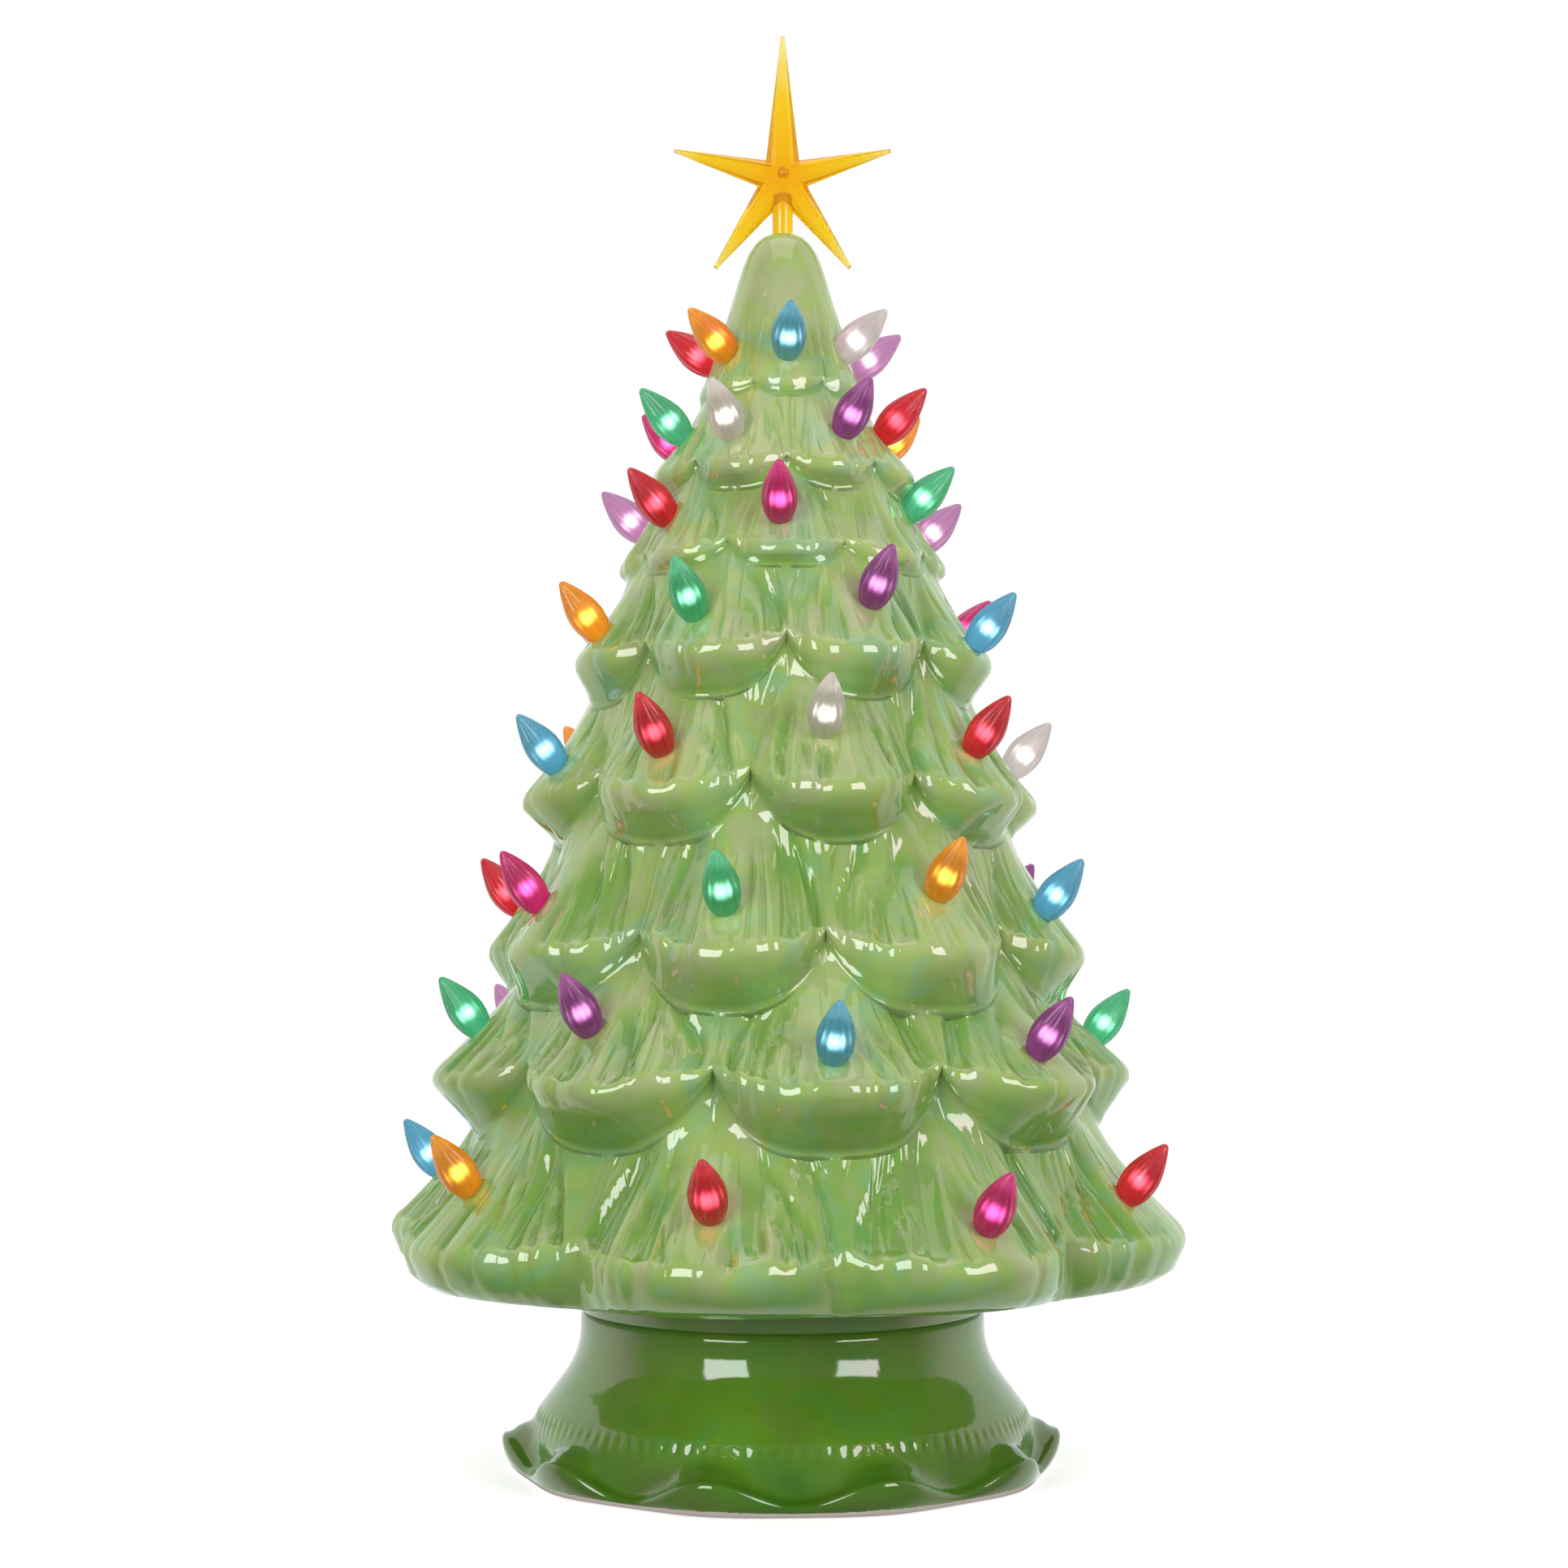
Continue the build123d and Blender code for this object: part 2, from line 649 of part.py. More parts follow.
# Contact plates against the bay's end walls, dimpled towards the cells; the end ones have a solder tab
contact_plates = (
    ("contact_positive", 1, cell_places[:1], True),
    ("contact_bridge_back", 1, cell_places[1:], False),
    ("contact_bridge_front", -1, cell_places[:-1], False),
    ("contact_negative", -1, cell_places[-1:], True),
)
for name, side, places, has_tab in contact_plates:
    middle = (places[0] + places[-1]) / 2
    plate_back = Plane(
        origin=(middle, side * (contact_face + contact_thickness), cell_height),
        x_dir=(side, 0, 0),
        z_dir=(0, -side, 0),
    )
    with BuildPart() as contact:
        with BuildSketch(plate_back):
            Rectangle(contact_width + places[-1] - places[0], contact_height)
            if has_tab:
                with Locations((0, (tab_top - cell_height) / 2)):
                    Rectangle(contact_tab_width, tab_top - cell_height)
        extrude(amount=contact_thickness)
        with BuildSketch(plate_back.offset(contact_thickness)):
            with Locations(*[(side * (place - middle), 0) for place in places]):
                Circle(contact_dimple_radius)
        extrude(amount=contact_reach - fit_clearance, taper=contact_dimple_taper)
    finish(contact, name)

# Lamp board on the roof's posts, with its screws
with BuildPart() as led_board:
    with BuildSketch(Plane.XY.offset(board_height)):
        Circle(board_radius)
        with Locations(*post_places):
            Circle(screw_radius + fit_clearance, mode=Mode.SUBTRACT)
    extrude(amount=board_thickness)
finish(led_board, "led_board")

with BuildPart() as board_screws:
    with Locations(*[Vector(0, 0, board_top) + place for place in post_places]):
        Cylinder(screw_head_radius, screw_head_height, align=stand)
        Cylinder(screw_radius, board_thickness + screw_bite, align=hang)
finish(board_screws, "board_screws")

# Light-emitting diodes: one in the middle and a ring round it
led_places = [Vector(0, 0, 0)] + [
    azimuth_vector(360 * (index + 0.5) / led_ring_count) * led_circle for index in range(led_ring_count)
]
for index, place in enumerate(led_places):
    with BuildPart() as led:
        with Locations(Vector(0, 0, board_top) + place):
            Cylinder(led_rim_radius, led_rim_height, align=stand)
            Cylinder(led_radius, led_height - led_radius, align=stand)
        with Locations(Vector(0, 0, board_top + led_height - led_radius) + place):
            Sphere(led_radius)
    finish(led, f"led_{index + 1}")

# Frosted dome over the board, standing on the roof round its locating ring
with BuildPart() as diffuser_dome:
    with BuildSketch(Plane.XZ):
        with BuildLine():
            Line((0, roof_top), (dome_radius, roof_top))
            Line((dome_radius, roof_top), (dome_radius, roof_top + dome_height - dome_radius))
            RadiusArc(
                (dome_radius, roof_top + dome_height - dome_radius),
                (0, roof_top + dome_height),
                -dome_radius,
            )
            Line((0, roof_top + dome_height), (0, roof_top))
        make_face()
    revolve(axis=Axis.Z)
    offset(amount=-dome_wall, openings=diffuser_dome.faces().sort_by(Axis.Z)[0])
    with BuildSketch(Plane.XY.offset(roof_top)):
        with Locations(*[Location((0, 0, 0), (0, 0, turn)) for turn in dome_notch_turns]):
            with Locations((dome_radius, 0)):
                Rectangle(4 * dome_wall, dome_notch_width)
    extrude(amount=dome_notch_height, mode=Mode.SUBTRACT)
finish(diffuser_dome, "diffuser_dome")

# Slide switch: shell with two ears over the plate's slot, a slider, two terminals and its screws
with BuildPart() as switch_body:
    with BuildSketch(Plane.XY.offset(plate_top)):
        with Locations((switch_reach, 0)):
            Rectangle(switch_width, switch_length + 2 * switch_ear_length)
    extrude(amount=switch_ear_thickness)
    with BuildSketch(Plane.XY.offset(plate_top)):
        with Locations((switch_reach, 0)):
            Rectangle(switch_width, switch_length)
    extrude(amount=switch_height)
    with BuildSketch(Plane.XY.offset(plate_top)):
        with Locations((switch_reach, 0)):
            Rectangle(slider_width + 2 * fit_clearance, slider_length + slider_travel + 2 * fit_clearance)
    extrude(amount=slider_thickness + 2 * fit_clearance, mode=Mode.SUBTRACT)
    with BuildSketch(Plane.XY.offset(plate_top)):
        with Locations(*ear_places):
            Circle(screw_radius + fit_clearance)
    extrude(amount=switch_ear_thickness, mode=Mode.SUBTRACT)
finish(switch_body, "switch_body")

with BuildPart() as switch_slider:
    with BuildSketch(Plane.XY.offset(plate_top + fit_clearance)):
        with Locations((switch_reach, slider_rest)):
            Rectangle(slider_width, slider_length)
    extrude(amount=slider_thickness)
    with BuildSketch(Plane.XY.offset(plate_height - slider_knob_drop)):
        with Locations((switch_reach, slider_rest)):
            Rectangle(slider_knob_width, slider_knob_length)
    extrude(amount=slider_knob_drop + plate_thickness + fit_clearance)
finish(switch_slider, "switch_slider")

terminal_places = [(switch_reach, side * terminal_spacing / 2) for side in (-1, 1)]
with BuildPart() as switch_terminals:
    with BuildSketch(Plane.XY.offset(switch_top)):
        with Locations(*terminal_places):
            Circle(terminal_radius)
    extrude(amount=terminal_height)
finish(switch_terminals, "switch_terminals")

with BuildPart() as switch_screws:
    with Locations(*[(x, y, plate_top + switch_ear_thickness) for x, y in ear_places]):
        Cylinder(screw_head_radius, screw_head_height, align=stand)
        Cylinder(screw_radius, switch_ear_thickness + switch_screw_bite, align=hang)
finish(switch_screws, "switch_screws")

# Insulated leads: battery to board, switch to board and battery to switch
positive_x = tab_places[0][0]
negative_x, negative_y = tab_places[1]
turn = math.radians(lead_positive_turn)
lead_routes = {
    "lead_positive": (
        (positive_x, contact_face - fit_clearance, lead_height),
        (positive_x, positive_x * math.tan(turn), lead_height),
        (lead_reach * math.cos(turn), lead_reach * math.sin(turn), lead_height),
    ),
    "lead_switch": (
        (switch_reach, terminal_spacing / 2, terminal_top + fit_clearance),
        (switch_reach, terminal_spacing / 2, lead_height),
        (lead_reach, terminal_spacing / 2, lead_height),
    ),
    "lead_negative": (
        (negative_x + contact_tab_width / 2 + fit_clearance, negative_y, lead_height),
        (switch_reach, negative_y, lead_height),
        (switch_reach, -terminal_spacing / 2, lead_height),
        (switch_reach, -terminal_spacing / 2, terminal_top + fit_clearance),
    ),
}
for name, route in lead_routes.items():
    with BuildPart() as lead:
        with BuildLine() as lead_line:
            FilletPolyline(*route, radius=lead_bend)
        with BuildSketch(Plane(origin=lead_line.line @ 0, z_dir=lead_line.line % 0)):
            Circle(lead_radius)
        sweep()
    finish(lead, name)
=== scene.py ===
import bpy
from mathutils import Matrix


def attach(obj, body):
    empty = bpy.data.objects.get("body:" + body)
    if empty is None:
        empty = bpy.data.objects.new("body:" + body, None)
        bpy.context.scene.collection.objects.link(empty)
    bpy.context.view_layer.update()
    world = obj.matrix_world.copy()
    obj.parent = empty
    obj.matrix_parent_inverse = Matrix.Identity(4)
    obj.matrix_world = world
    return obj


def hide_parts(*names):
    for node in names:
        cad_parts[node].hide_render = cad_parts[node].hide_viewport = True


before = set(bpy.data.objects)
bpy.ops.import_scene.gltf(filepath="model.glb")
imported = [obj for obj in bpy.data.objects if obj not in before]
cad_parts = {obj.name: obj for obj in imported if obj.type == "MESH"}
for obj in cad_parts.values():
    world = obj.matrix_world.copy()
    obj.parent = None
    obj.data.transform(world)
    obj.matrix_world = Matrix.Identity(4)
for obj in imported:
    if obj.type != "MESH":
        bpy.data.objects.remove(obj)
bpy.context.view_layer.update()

import math

import bpy
import numpy as np
from mathutils import Matrix, Vector

mm = 0.001

# Pedestal: a separate slip-cast piece with a waisted neck, a ruffled foot pinched in soft clay, and a lip on
# its deck that keeps the tree in place. Glazed in deep leaf green under a pearl lustre, wiped bare where it
# stands.
foot_columns = 832
ruffle_waves, ruffle_start = 10, math.radians(-15.0)
ruffle_out, ruffle_lift = 1.25, 1.3
# unevenness of the ruffle: waves round the foot, their size beside the ruffle's own, and where they start
ruffle_drifts = [(3, 0.15, 0.7), (7, 0.105, 2.1)]
# rounding of the ruffle's waves behind the rim: its lift, radius and reach, and the height it starts above
crest_lift, crest_radius, crest_reach, crest_floor = 2.2, 69.0, 1.8, 5.0
gather_count, gather_front, gather_drain = 116, 0.3, 1.6
first_glazed, last_glazed = 4, 35
pool_heights, pool_levels = [6.0, 14.0, 24.0, 36.0], [0.5, 0.1, 0.0, -0.35]
# rings from the standing face up the outside, over the lip and down the inside: radius and height in mm,
# then how far the ruffle pushes a ring out and lifts it, and the depth of the gathers, where it has any
foot_rings = [
    (60.0, 0.0), (70.0, 0.0, 0.5), (71.2, 0.3, 0.7), (72.0, 1.1, 0.9, 0.05), (72.7, 2.2, 1.1, 0.4),
    (73.15, 3.3, 1.4, 1.0), (73.3, 4.3, 1.65, 1.6), (73.15, 5.2, 1.85, 2.0), (72.7, 5.85, 1.95, 2.2),
    (72.0, 6.1, 2.0, 2.25), (71.2, 6.05, 1.9, 2.1), (70.2, 6.25, 1.65, 1.8), (69.3, 6.95, 1.35, 1.45),
    (68.5, 8.1, 1.0, 1.1), (67.8, 9.5, 0.7, 0.75), (67.1, 11.2, 0.4, 0.4), (66.5, 13.0, 0.2, 0.2, 0.04),
    (66.1, 14.1, 0.1, 0.1, 0.15), (65.75, 15.1, 0.05, 0.05, 0.20), (65.4, 16.0, 0.0, 0.0, 0.12),
    (64.9, 17.0, 0.0, 0.0, 0.03), (64.2, 18.0), (63.0, 19.5), (61.5, 21.5), (59.9, 23.6), (58.2, 26.0),
    (56.7, 28.7), (55.55, 31.5), (54.85, 34.4), (54.6, 37.2), (54.6, 40.0), (54.4, 41.3), (53.8, 42.0),
    (46.4, 42.0), (46.0, 42.4), (46.0, 46.4), (45.4, 47.0), (42.6, 47.0), (42.0, 46.4), (42.0, 37.0),
    (48.6, 37.0), (49.6, 36.0), (49.6, 29.0), (57.0, 8.1), (60.0, 8.0), (60.0, 4.0), (60.0, 0.0),
]
ring_values = np.array([ring + (0.0,) * (5 - len(ring)) for ring in foot_rings])
plain_radius, plain_height, pushed, lifted, gathered = ring_values.T[..., None]
foot_turns = np.radians(np.linspace(-180.0, 180.0, foot_columns + 1))
swell = np.cos(ruffle_waves * (foot_turns - ruffle_start))
ruffle = swell + sum(size * np.sin(waves * foot_turns + start) for waves, size, start in ruffle_drifts)
gathers = np.cos(gather_count * foot_turns) * (gather_front + (1 - gather_front) * np.abs(np.sin(foot_turns)))
crest = np.exp(-((plain_radius - crest_radius) / crest_reach) ** 2) * (plain_height > crest_floor)
foot_radii = plain_radius + ruffle_out * pushed * ruffle + gathered * gathers
foot_heights = plain_height + ruffle_lift * lifted * ruffle + crest_lift * crest * np.clip(swell, 0.0, 1.0)


def pick(*pieces):
    """Selects these pieces alone, with the first one active."""
    bpy.ops.object.select_all(action="DESELECT")
    for piece in pieces:
        piece.select_set(True)
        bpy.context.view_layer.objects.active = pieces[0]


def ring_piece(name, radii, heights, turns):
    """A skin of rings round the upright axis, in mm: a grid with one row of points for each ring."""
    pick()
    bpy.ops.mesh.primitive_grid_add(x_subdivisions=len(turns) - 1, y_subdivisions=len(radii) - 1, size=1)
    piece = bpy.context.object
    piece.name = piece.data.name = name
    points = np.stack([radii * np.sin(turns), -radii * np.cos(turns), heights], axis=-1)
    piece.data.vertices.foreach_set("co", (points * mm).ravel())
    return piece


def add_layer(piece, name, values, kind="FLOAT", field="value"):
    """Gives every vertex of a piece something that its material reads."""
    layer = piece.data.attributes.new(name, kind, "POINT")
    layer.data.foreach_set(field, np.asarray(values, float).ravel())
    piece.data.update()


def close_seams(piece):
    """Joins the seams of a piece and faces it outwards."""
    pick(piece)
    bpy.ops.object.mode_set(mode="EDIT")
    bpy.ops.mesh.select_all(action="SELECT")
    bpy.ops.mesh.remove_doubles(threshold=0.000002)
    bpy.ops.mesh.normals_make_consistent(inside=False)
    bpy.ops.object.mode_set(mode="OBJECT")


pedestal = ring_piece("pedestal_glazed", foot_radii, foot_heights, foot_turns)
foot_numbers = np.arange(len(foot_rings))[:, None]
bare_foot = np.broadcast_to((foot_numbers < first_glazed) | (foot_numbers > last_glazed), foot_radii.shape)
foot_pool = np.interp(plain_height, pool_heights, pool_levels) - gather_drain * gathered * gathers
add_layer(pedestal, "bare_clay", bare_foot)
add_layer(pedestal, "glaze_pool_and_shade", foot_pool * (1 - bare_foot))
close_seams(pedestal)
crease_angle = math.radians(50)
bpy.ops.object.shade_smooth_by_angle(angle=crease_angle)


class Finish:
    """The shader nodes of one finish. A method adds a node, fills its inputs with plain values or with other
    nodes' outputs, and returns what it puts out."""

    def __init__(self, tree):
        self.tree = tree

    def fill(self, socket, value):
        """Links an input to another node's output, or sets its plain value."""
        if isinstance(value, bpy.types.NodeSocket):
            self.tree.links.new(value, socket)
        else:
            socket.default_value = (*value, 1.0) if socket.type == "RGBA" else value

    def add(self, kind, inputs, **settings):
        """A node of any kind, by all its outputs."""
        node = self.tree.nodes.new("ShaderNode" + kind)
        for name, value in settings.items():
            setattr(node, name, value)
        for key, value in inputs.items():
            self.fill(node.inputs[key], value)
        return node.outputs

    def where(self, kind="Object"):
        """The piece's own coordinates."""
        return self.add("TexCoord", {})[kind]

    def noise(self, scale, detail=2.0, distortion=0.0, where=None):
        """A soft random pattern from 0 to 1."""
        place = self.where() if where is None else where
        inputs = {"Vector": place, "Scale": scale, "Detail": detail, "Distortion": distortion}
        return self.add("TexNoise", inputs)[0]

    def sum(self, operation, *terms):
        """One step of arithmetic."""
        return self.add("Math", dict(enumerate(terms)), operation=operation)[0]

    def remap(self, value, start, end, low=0.0, high=1.0, ease="LINEAR"):
        """Stretches the span from start to end to the span from low to high."""
        inputs = {0: value, 1: start, 2: end, 3: low, 4: high}
        return self.add("MapRange", inputs, interpolation_type=ease)[0]

    def blend(self, share, first, second, mode="MIX"):
        """Mixes two colours."""
        return self.add("Mix", {0: share, 6: first, 7: second}, data_type="RGBA", blend_type=mode)[2]

    def between(self, share, first, second):
        """Mixes two numbers."""
        return self.add("Mix", {0: share, 2: first, 3: second}, data_type="FLOAT")[0]

    def ramp(self, share, stops, steps="LINEAR"):
        """Colours along a share, each stop a place and a colour."""
        color = self.add("ValToRGB", {0: share})[0]
        bands = color.node.color_ramp
        bands.interpolation = steps
        bands.elements.remove(bands.elements[1])
        for number, (place, tone) in enumerate(stops):
            stop = bands.elements.new(place) if number else bands.elements[0]
            stop.position, stop.color = place, (*tone, 1.0)
        return color

    def layer(self, name, kind="Fac"):
        """What the piece's own layer holds."""
        return self.add("Attribute", {}, attribute_name=name)[kind]

    def bump(self, height, strength, distance):
        """Fine relief, distance in metres."""
        return self.add("Bump", {"Strength": strength, "Distance": distance, "Height": height})[0]

    def shade(self, inputs):
        """Fills the material's own shader."""
        for name, value in inputs.items():
            self.fill(self.tree.nodes["Principled BSDF"].inputs[name], value)

    def put_out(self, *values):
        """Ends a node group with its colour, roughness and height."""
        ending = self.tree.nodes.new("NodeGroupOutput")
        for socket, value in zip(ending.inputs, values):
            self.fill(socket, value)


def new_group(name, **inputs):
    """A node group that several materials share: itself, its nodes and what it is given."""
    group = bpy.data.node_groups.new(name, "ShaderNodeTree")
    for socket, kind in inputs.items():
        group.interface.new_socket(socket, in_out="INPUT", socket_type="NodeSocket" + kind)
    for socket, kind in (("Color", "Color"), ("Roughness", "Float"), ("Height", "Float")):
        group.interface.new_socket(socket, in_out="OUTPUT", socket_type="NodeSocket" + kind)
    return group, Finish(group), group.nodes.new("NodeGroupInput").outputs


def new_material(name, glows=False):
    """An empty material and its nodes. One that glows is only looked at and isn't used as a lamp."""
    material = bpy.data.materials.new(name)
    material.use_nodes = True
    if glows:
        material.cycles.emission_sampling = "NONE"
    return material, Finish(material.node_tree)


# The lustre glaze of tree and pedestal: cloudy green that runs darker where it pools and where painted shade
# is laid in, with a pastel bloom, ending raggedly where the clay was wiped bare
pearl_glaze, glaze, given = new_group("pearl_glaze", Pale="Color", Deep="Color", Pool="Float", Bare="Float")
bloom_stops = [(0.36, (0.80, 1.00, 1.40)), (0.50, (1.04, 1.02, 0.62)), (0.66, (1.24, 0.94, 1.34))]
cloud = glaze.noise(26.0, 4.0, 0.6)
mottle = glaze.noise(150.0, 3.0, 0.4)
clay_grain = glaze.noise(700.0, 3.0)
thick = glaze.sum("ADD", glaze.sum("MULTIPLY_ADD", mottle, 0.35, cloud), given["Pool"])
green = glaze.blend(glaze.remap(thick, 0.30, 1.25), given["Pale"], given["Deep"])
bloomed = glaze.blend(0.65, green, glaze.ramp(glaze.noise(48.0, 2.0, 1.6), bloom_stops), "MULTIPLY")
gloss = glaze.remap(cloud, 0.0, 1.0, 0.035, 0.10)
clay = glaze.blend(clay_grain, (0.66, 0.60, 0.54), (0.54, 0.48, 0.43))
wiped = glaze.remap(glaze.sum("MULTIPLY_ADD", clay_grain, 0.5, given["Bare"]), 0.70, 0.82)
glaze.put_out(glaze.blend(wiped, bloomed, clay), glaze.between(wiped, gloss, 0.8), mottle)


def glaze_material(name, pale, deep):
    """The pearl glaze in two greens, pooled, darkened by painted shade, ended and combed with needles as the
    piece's layers say.
    """
    material, finish = new_material(name)
    combed = finish.noise(0.16, 0.0, where=finish.layer("needle_lane", "Vector"))
    off_line = finish.sum("ABSOLUTE", finish.sum("SUBTRACT", combed, 0.5))
    line = finish.remap(off_line, 0.0, 0.13, 1.0, 0.0, "SMOOTHSTEP")
    groove = finish.sum("MULTIPLY", line, finish.layer("needle_depth"))
    pool_and_shade = finish.sum("MULTIPLY_ADD", groove, 0.09, finish.layer("glaze_pool_and_shade"))
    inputs = {"Pale": pale, "Deep": deep, "Pool": pool_and_shade, "Bare": finish.layer("bare_clay")}
    coat = finish.add("Group", inputs, node_tree=pearl_glaze)
    relief = finish.sum("MULTIPLY_ADD", coat["Height"], 0.07, finish.sum("MULTIPLY", groove, -1.0))
    finish.shade({
        "Base Color": coat["Color"],
        "Roughness": coat["Roughness"],
        "Normal": finish.bump(relief, 0.75, 0.8 * mm),
        "IOR": 1.81,
        "Thin Film Thickness": 605.0,
        "Thin Film IOR": 1.66,
    })
    return material


base_glaze = glaze_material("base_pearl_glaze", (0.115, 0.262, 0.024), (0.042, 0.128, 0.007))
pedestal.data.materials.append(base_glaze)
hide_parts("pedestal_base")
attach(pedestal, "base")

# Lamp housing and battery door: white moulded plastic that closes the pedestal from below, with the fine
# spark-eroded texture of its tool. The door hangs on two moulded pins and covers the battery bay.
moulded_skin, skin, given = new_group(
    "moulded_skin", Tone="Color", Wear="Color", Smooth="Float", Matt="Float"
)
flow = skin.noise(55.0, 3.0, 0.7)
skin.put_out(
    skin.blend(flow, given["Tone"], given["Wear"]), skin.between(flow, given["Smooth"], given["Matt"]),
    skin.noise(1700.0),
)


def coated_material(name, group, inputs, strength, distance):
    """A material whose colour, roughness and fine relief come from a node group."""
    material, finish = new_material(name)
    coat = finish.add("Group", inputs, node_tree=group)
    finish.shade({
        "Base Color": coat["Color"],
        "Roughness": coat["Roughness"],
        "Normal": finish.bump(coat["Height"], strength, distance),
    })
    return material


def moulded_material(name, tone, wear, smooth_part, matt_part, grain):
    """A moulded or dipped skin: two close tones, two roughnesses and the strength of its grain."""
    inputs = {"Tone": tone, "Wear": wear, "Smooth": smooth_part, "Matt": matt_part}
    return coated_material(name, moulded_skin, inputs, grain, 0.2 * mm)


def finish_nodes(material, *names):
    """Gives a material to pieces whose CAD shape is shown as it is."""
    for name in names:
        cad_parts[name].data.materials.clear()
        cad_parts[name].data.materials.append(material)


white_plastic = moulded_material("housing_white", (0.78, 0.78, 0.74), (0.70, 0.70, 0.66), 0.36, 0.56, 0.25)
finish_nodes(white_plastic, "lamp_housing", "battery_door")

# Rubber collar: a soft black ring, moulded and stretched round the housing's rim, that grips the pedestal's
# opening. It carries a trace of the mould's talc.
black_rubber = moulded_material(
    "collar_rubber", (0.020, 0.020, 0.021), (0.055, 0.054, 0.052), 0.62, 0.85, 0.35
)
finish_nodes(black_rubber, "rubber_collar")

# Cells: three alkaline cells of AA size, a steel can in a shrunk film jacket, dark with a copper band at the
# plus end. The middle one lies the other way round.
cell_half = 25.3 * mm
bare_can, dark_film, copper_film, plus_cap = (
    (0.62, 0.61, 0.58), (0.022, 0.023, 0.026), (0.55, 0.26, 0.10), (0.66, 0.65, 0.62)
)
jacket_bands = [(0.0, bare_can), (0.012, dark_film), (0.70, copper_film), (0.975, plus_cap)]
for name, plus_end in (("battery_1", 1), ("battery_2", -1), ("battery_3", 1)):
    jacket, finish = new_material(name + "_jacket")
    along = finish.sum("MULTIPLY", finish.add("SeparateXYZ", {0: finish.where()})["Y"], plus_end)
    finish.shade({
        "Base Color": finish.ramp(finish.remap(along, -cell_half, cell_half), jacket_bands, "CONSTANT"),
        "Roughness": finish.remap(finish.noise(240.0, 4.0, 0.5), 0.0, 1.0, 0.18, 0.42),
        "Metallic": 0.35,
    })
    finish_nodes(jacket, name)

# Contacts, screws and terminals: stamped nickel-plated strip that joins the cells in series, zinc-plated
# screws and tinned brass tags, all with the fine lines of drawn metal.
drawn_metal, drawn, given = new_group("drawn_metal", Bright="Color", Dull="Color")
drawn_along = drawn.add("Mapping", {"Vector": drawn.where(), "Scale": (1.0, 14.0, 14.0)})[0]
drawn_lines = drawn.noise(260.0, 4.0, where=drawn_along)
drawn.put_out(
    drawn.blend(drawn_lines, given["Bright"], given["Dull"]), drawn.remap(drawn_lines, 0.0, 1.0, 0.20, 0.40),
    drawn_lines,
)
for paint, bright, dull, names in (
    ("contact_nickel", (0.72, 0.70, 0.66), (0.56, 0.54, 0.50),
     ("contact_positive", "contact_negative", "contact_bridge_front", "contact_bridge_back")),
    ("screw_zinc", (0.66, 0.67, 0.68), (0.48, 0.49, 0.50), ("board_screws", "switch_screws")),
    ("terminal_brass", (0.78, 0.62, 0.30), (0.60, 0.46, 0.20), ("switch_terminals",)),
):
    metal = coated_material(paint, drawn_metal, {"Bright": bright, "Dull": dull}, 0.10, 0.1 * mm)
    Finish(metal.node_tree).shade({"Metallic": 1.0})
    finish_nodes(metal, *names)

# Lamp board: white-masked laminate disc screwed to the housing, with five clear epoxy diodes whose chips
# glow near the foot, under a frosted dome that spreads their light.
chip_top, chip_core = 33.5 * mm, 30.0 * mm
board_mask = moulded_material("board_mask", (0.80, 0.81, 0.77), (0.72, 0.74, 0.69), 0.28, 0.40, 0.08)
finish_nodes(board_mask, "led_board")
epoxy, finish = new_material("diode_epoxy", glows=True)
height = finish.add("SeparateXYZ", {0: finish.where()})["Z"]
chip = finish.remap(height, chip_top, chip_core, ease="SMOOTHSTEP")
tone = finish.blend(chip, (0.88, 0.88, 0.84), (1.0, 0.82, 0.46))
finish.shade({
    "Base Color": tone,
    "Emission Color": tone,
    "Emission Strength": 0.5,
    "Roughness": finish.remap(finish.noise(500.0), 0.0, 1.0, 0.04, 0.14),
    "Transmission Weight": 0.7,
})
finish_nodes(epoxy, "led_1", "led_2", "led_3", "led_4", "led_5")
frosted_and_glow = moulded_material("dome_frosted_glow", (0.92, 0.91, 0.88), (0.86, 0.85, 0.81), 0.46, 0.60, 0.12)
frosted_and_glow.cycles.emission_sampling = "NONE"
# painted glow: a faint warm emission stands for the diodes' light passing through the dome
Finish(frosted_and_glow.node_tree).shade({
    "Transmission Weight": 0.55,
    "Emission Color": (1.0, 0.93, 0.80),
    "Emission Strength": 0.22,
})
finish_nodes(frosted_and_glow, "diffuser_dome")

# Switch: a bought-in slide switch in black nylon, screwed to the housing's underside, its slider polished a
# little by fingers.
black_nylon = moulded_material("switch_nylon", (0.022, 0.022, 0.024), (0.040, 0.040, 0.042), 0.40, 0.58, 0.20)
finish_nodes(black_nylon, "switch_body")
rubbed_nylon = moulded_material(
    "slider_nylon", (0.026, 0.026, 0.028), (0.050, 0.050, 0.052), 0.28, 0.44, 0.15
)
finish_nodes(rubbed_nylon, "switch_slider")

# Leads: short stranded wires in soft vinyl sleeves, red from the plus contact through the switch, black from
# the minus contact.
red_vinyl = moulded_material("lead_red_vinyl", (0.52, 0.018, 0.016), (0.40, 0.014, 0.013), 0.30, 0.48, 0.10)
black_vinyl = moulded_material(
    "lead_black_vinyl", (0.018, 0.018, 0.019), (0.034, 0.034, 0.035), 0.30, 0.48, 0.10
)
finish_nodes(red_vinyl, "lead_positive", "lead_switch")
finish_nodes(black_vinyl, "lead_negative")

# Tree: hollow slip-cast earthenware, eight tiers of drooping boughs with needle strokes carved in the soft
# clay, each tier tucked under the one above. Same lustre glaze, thinner and paler on the crests, pooled in
# the strokes.
tree_columns = 600
column_step = 360.0 / tree_columns
azimuths = np.linspace(-180.0, 180.0, tree_columns + 1)
tree_foot, tree_tall, skirt = 42.0, 295.0, 109.0
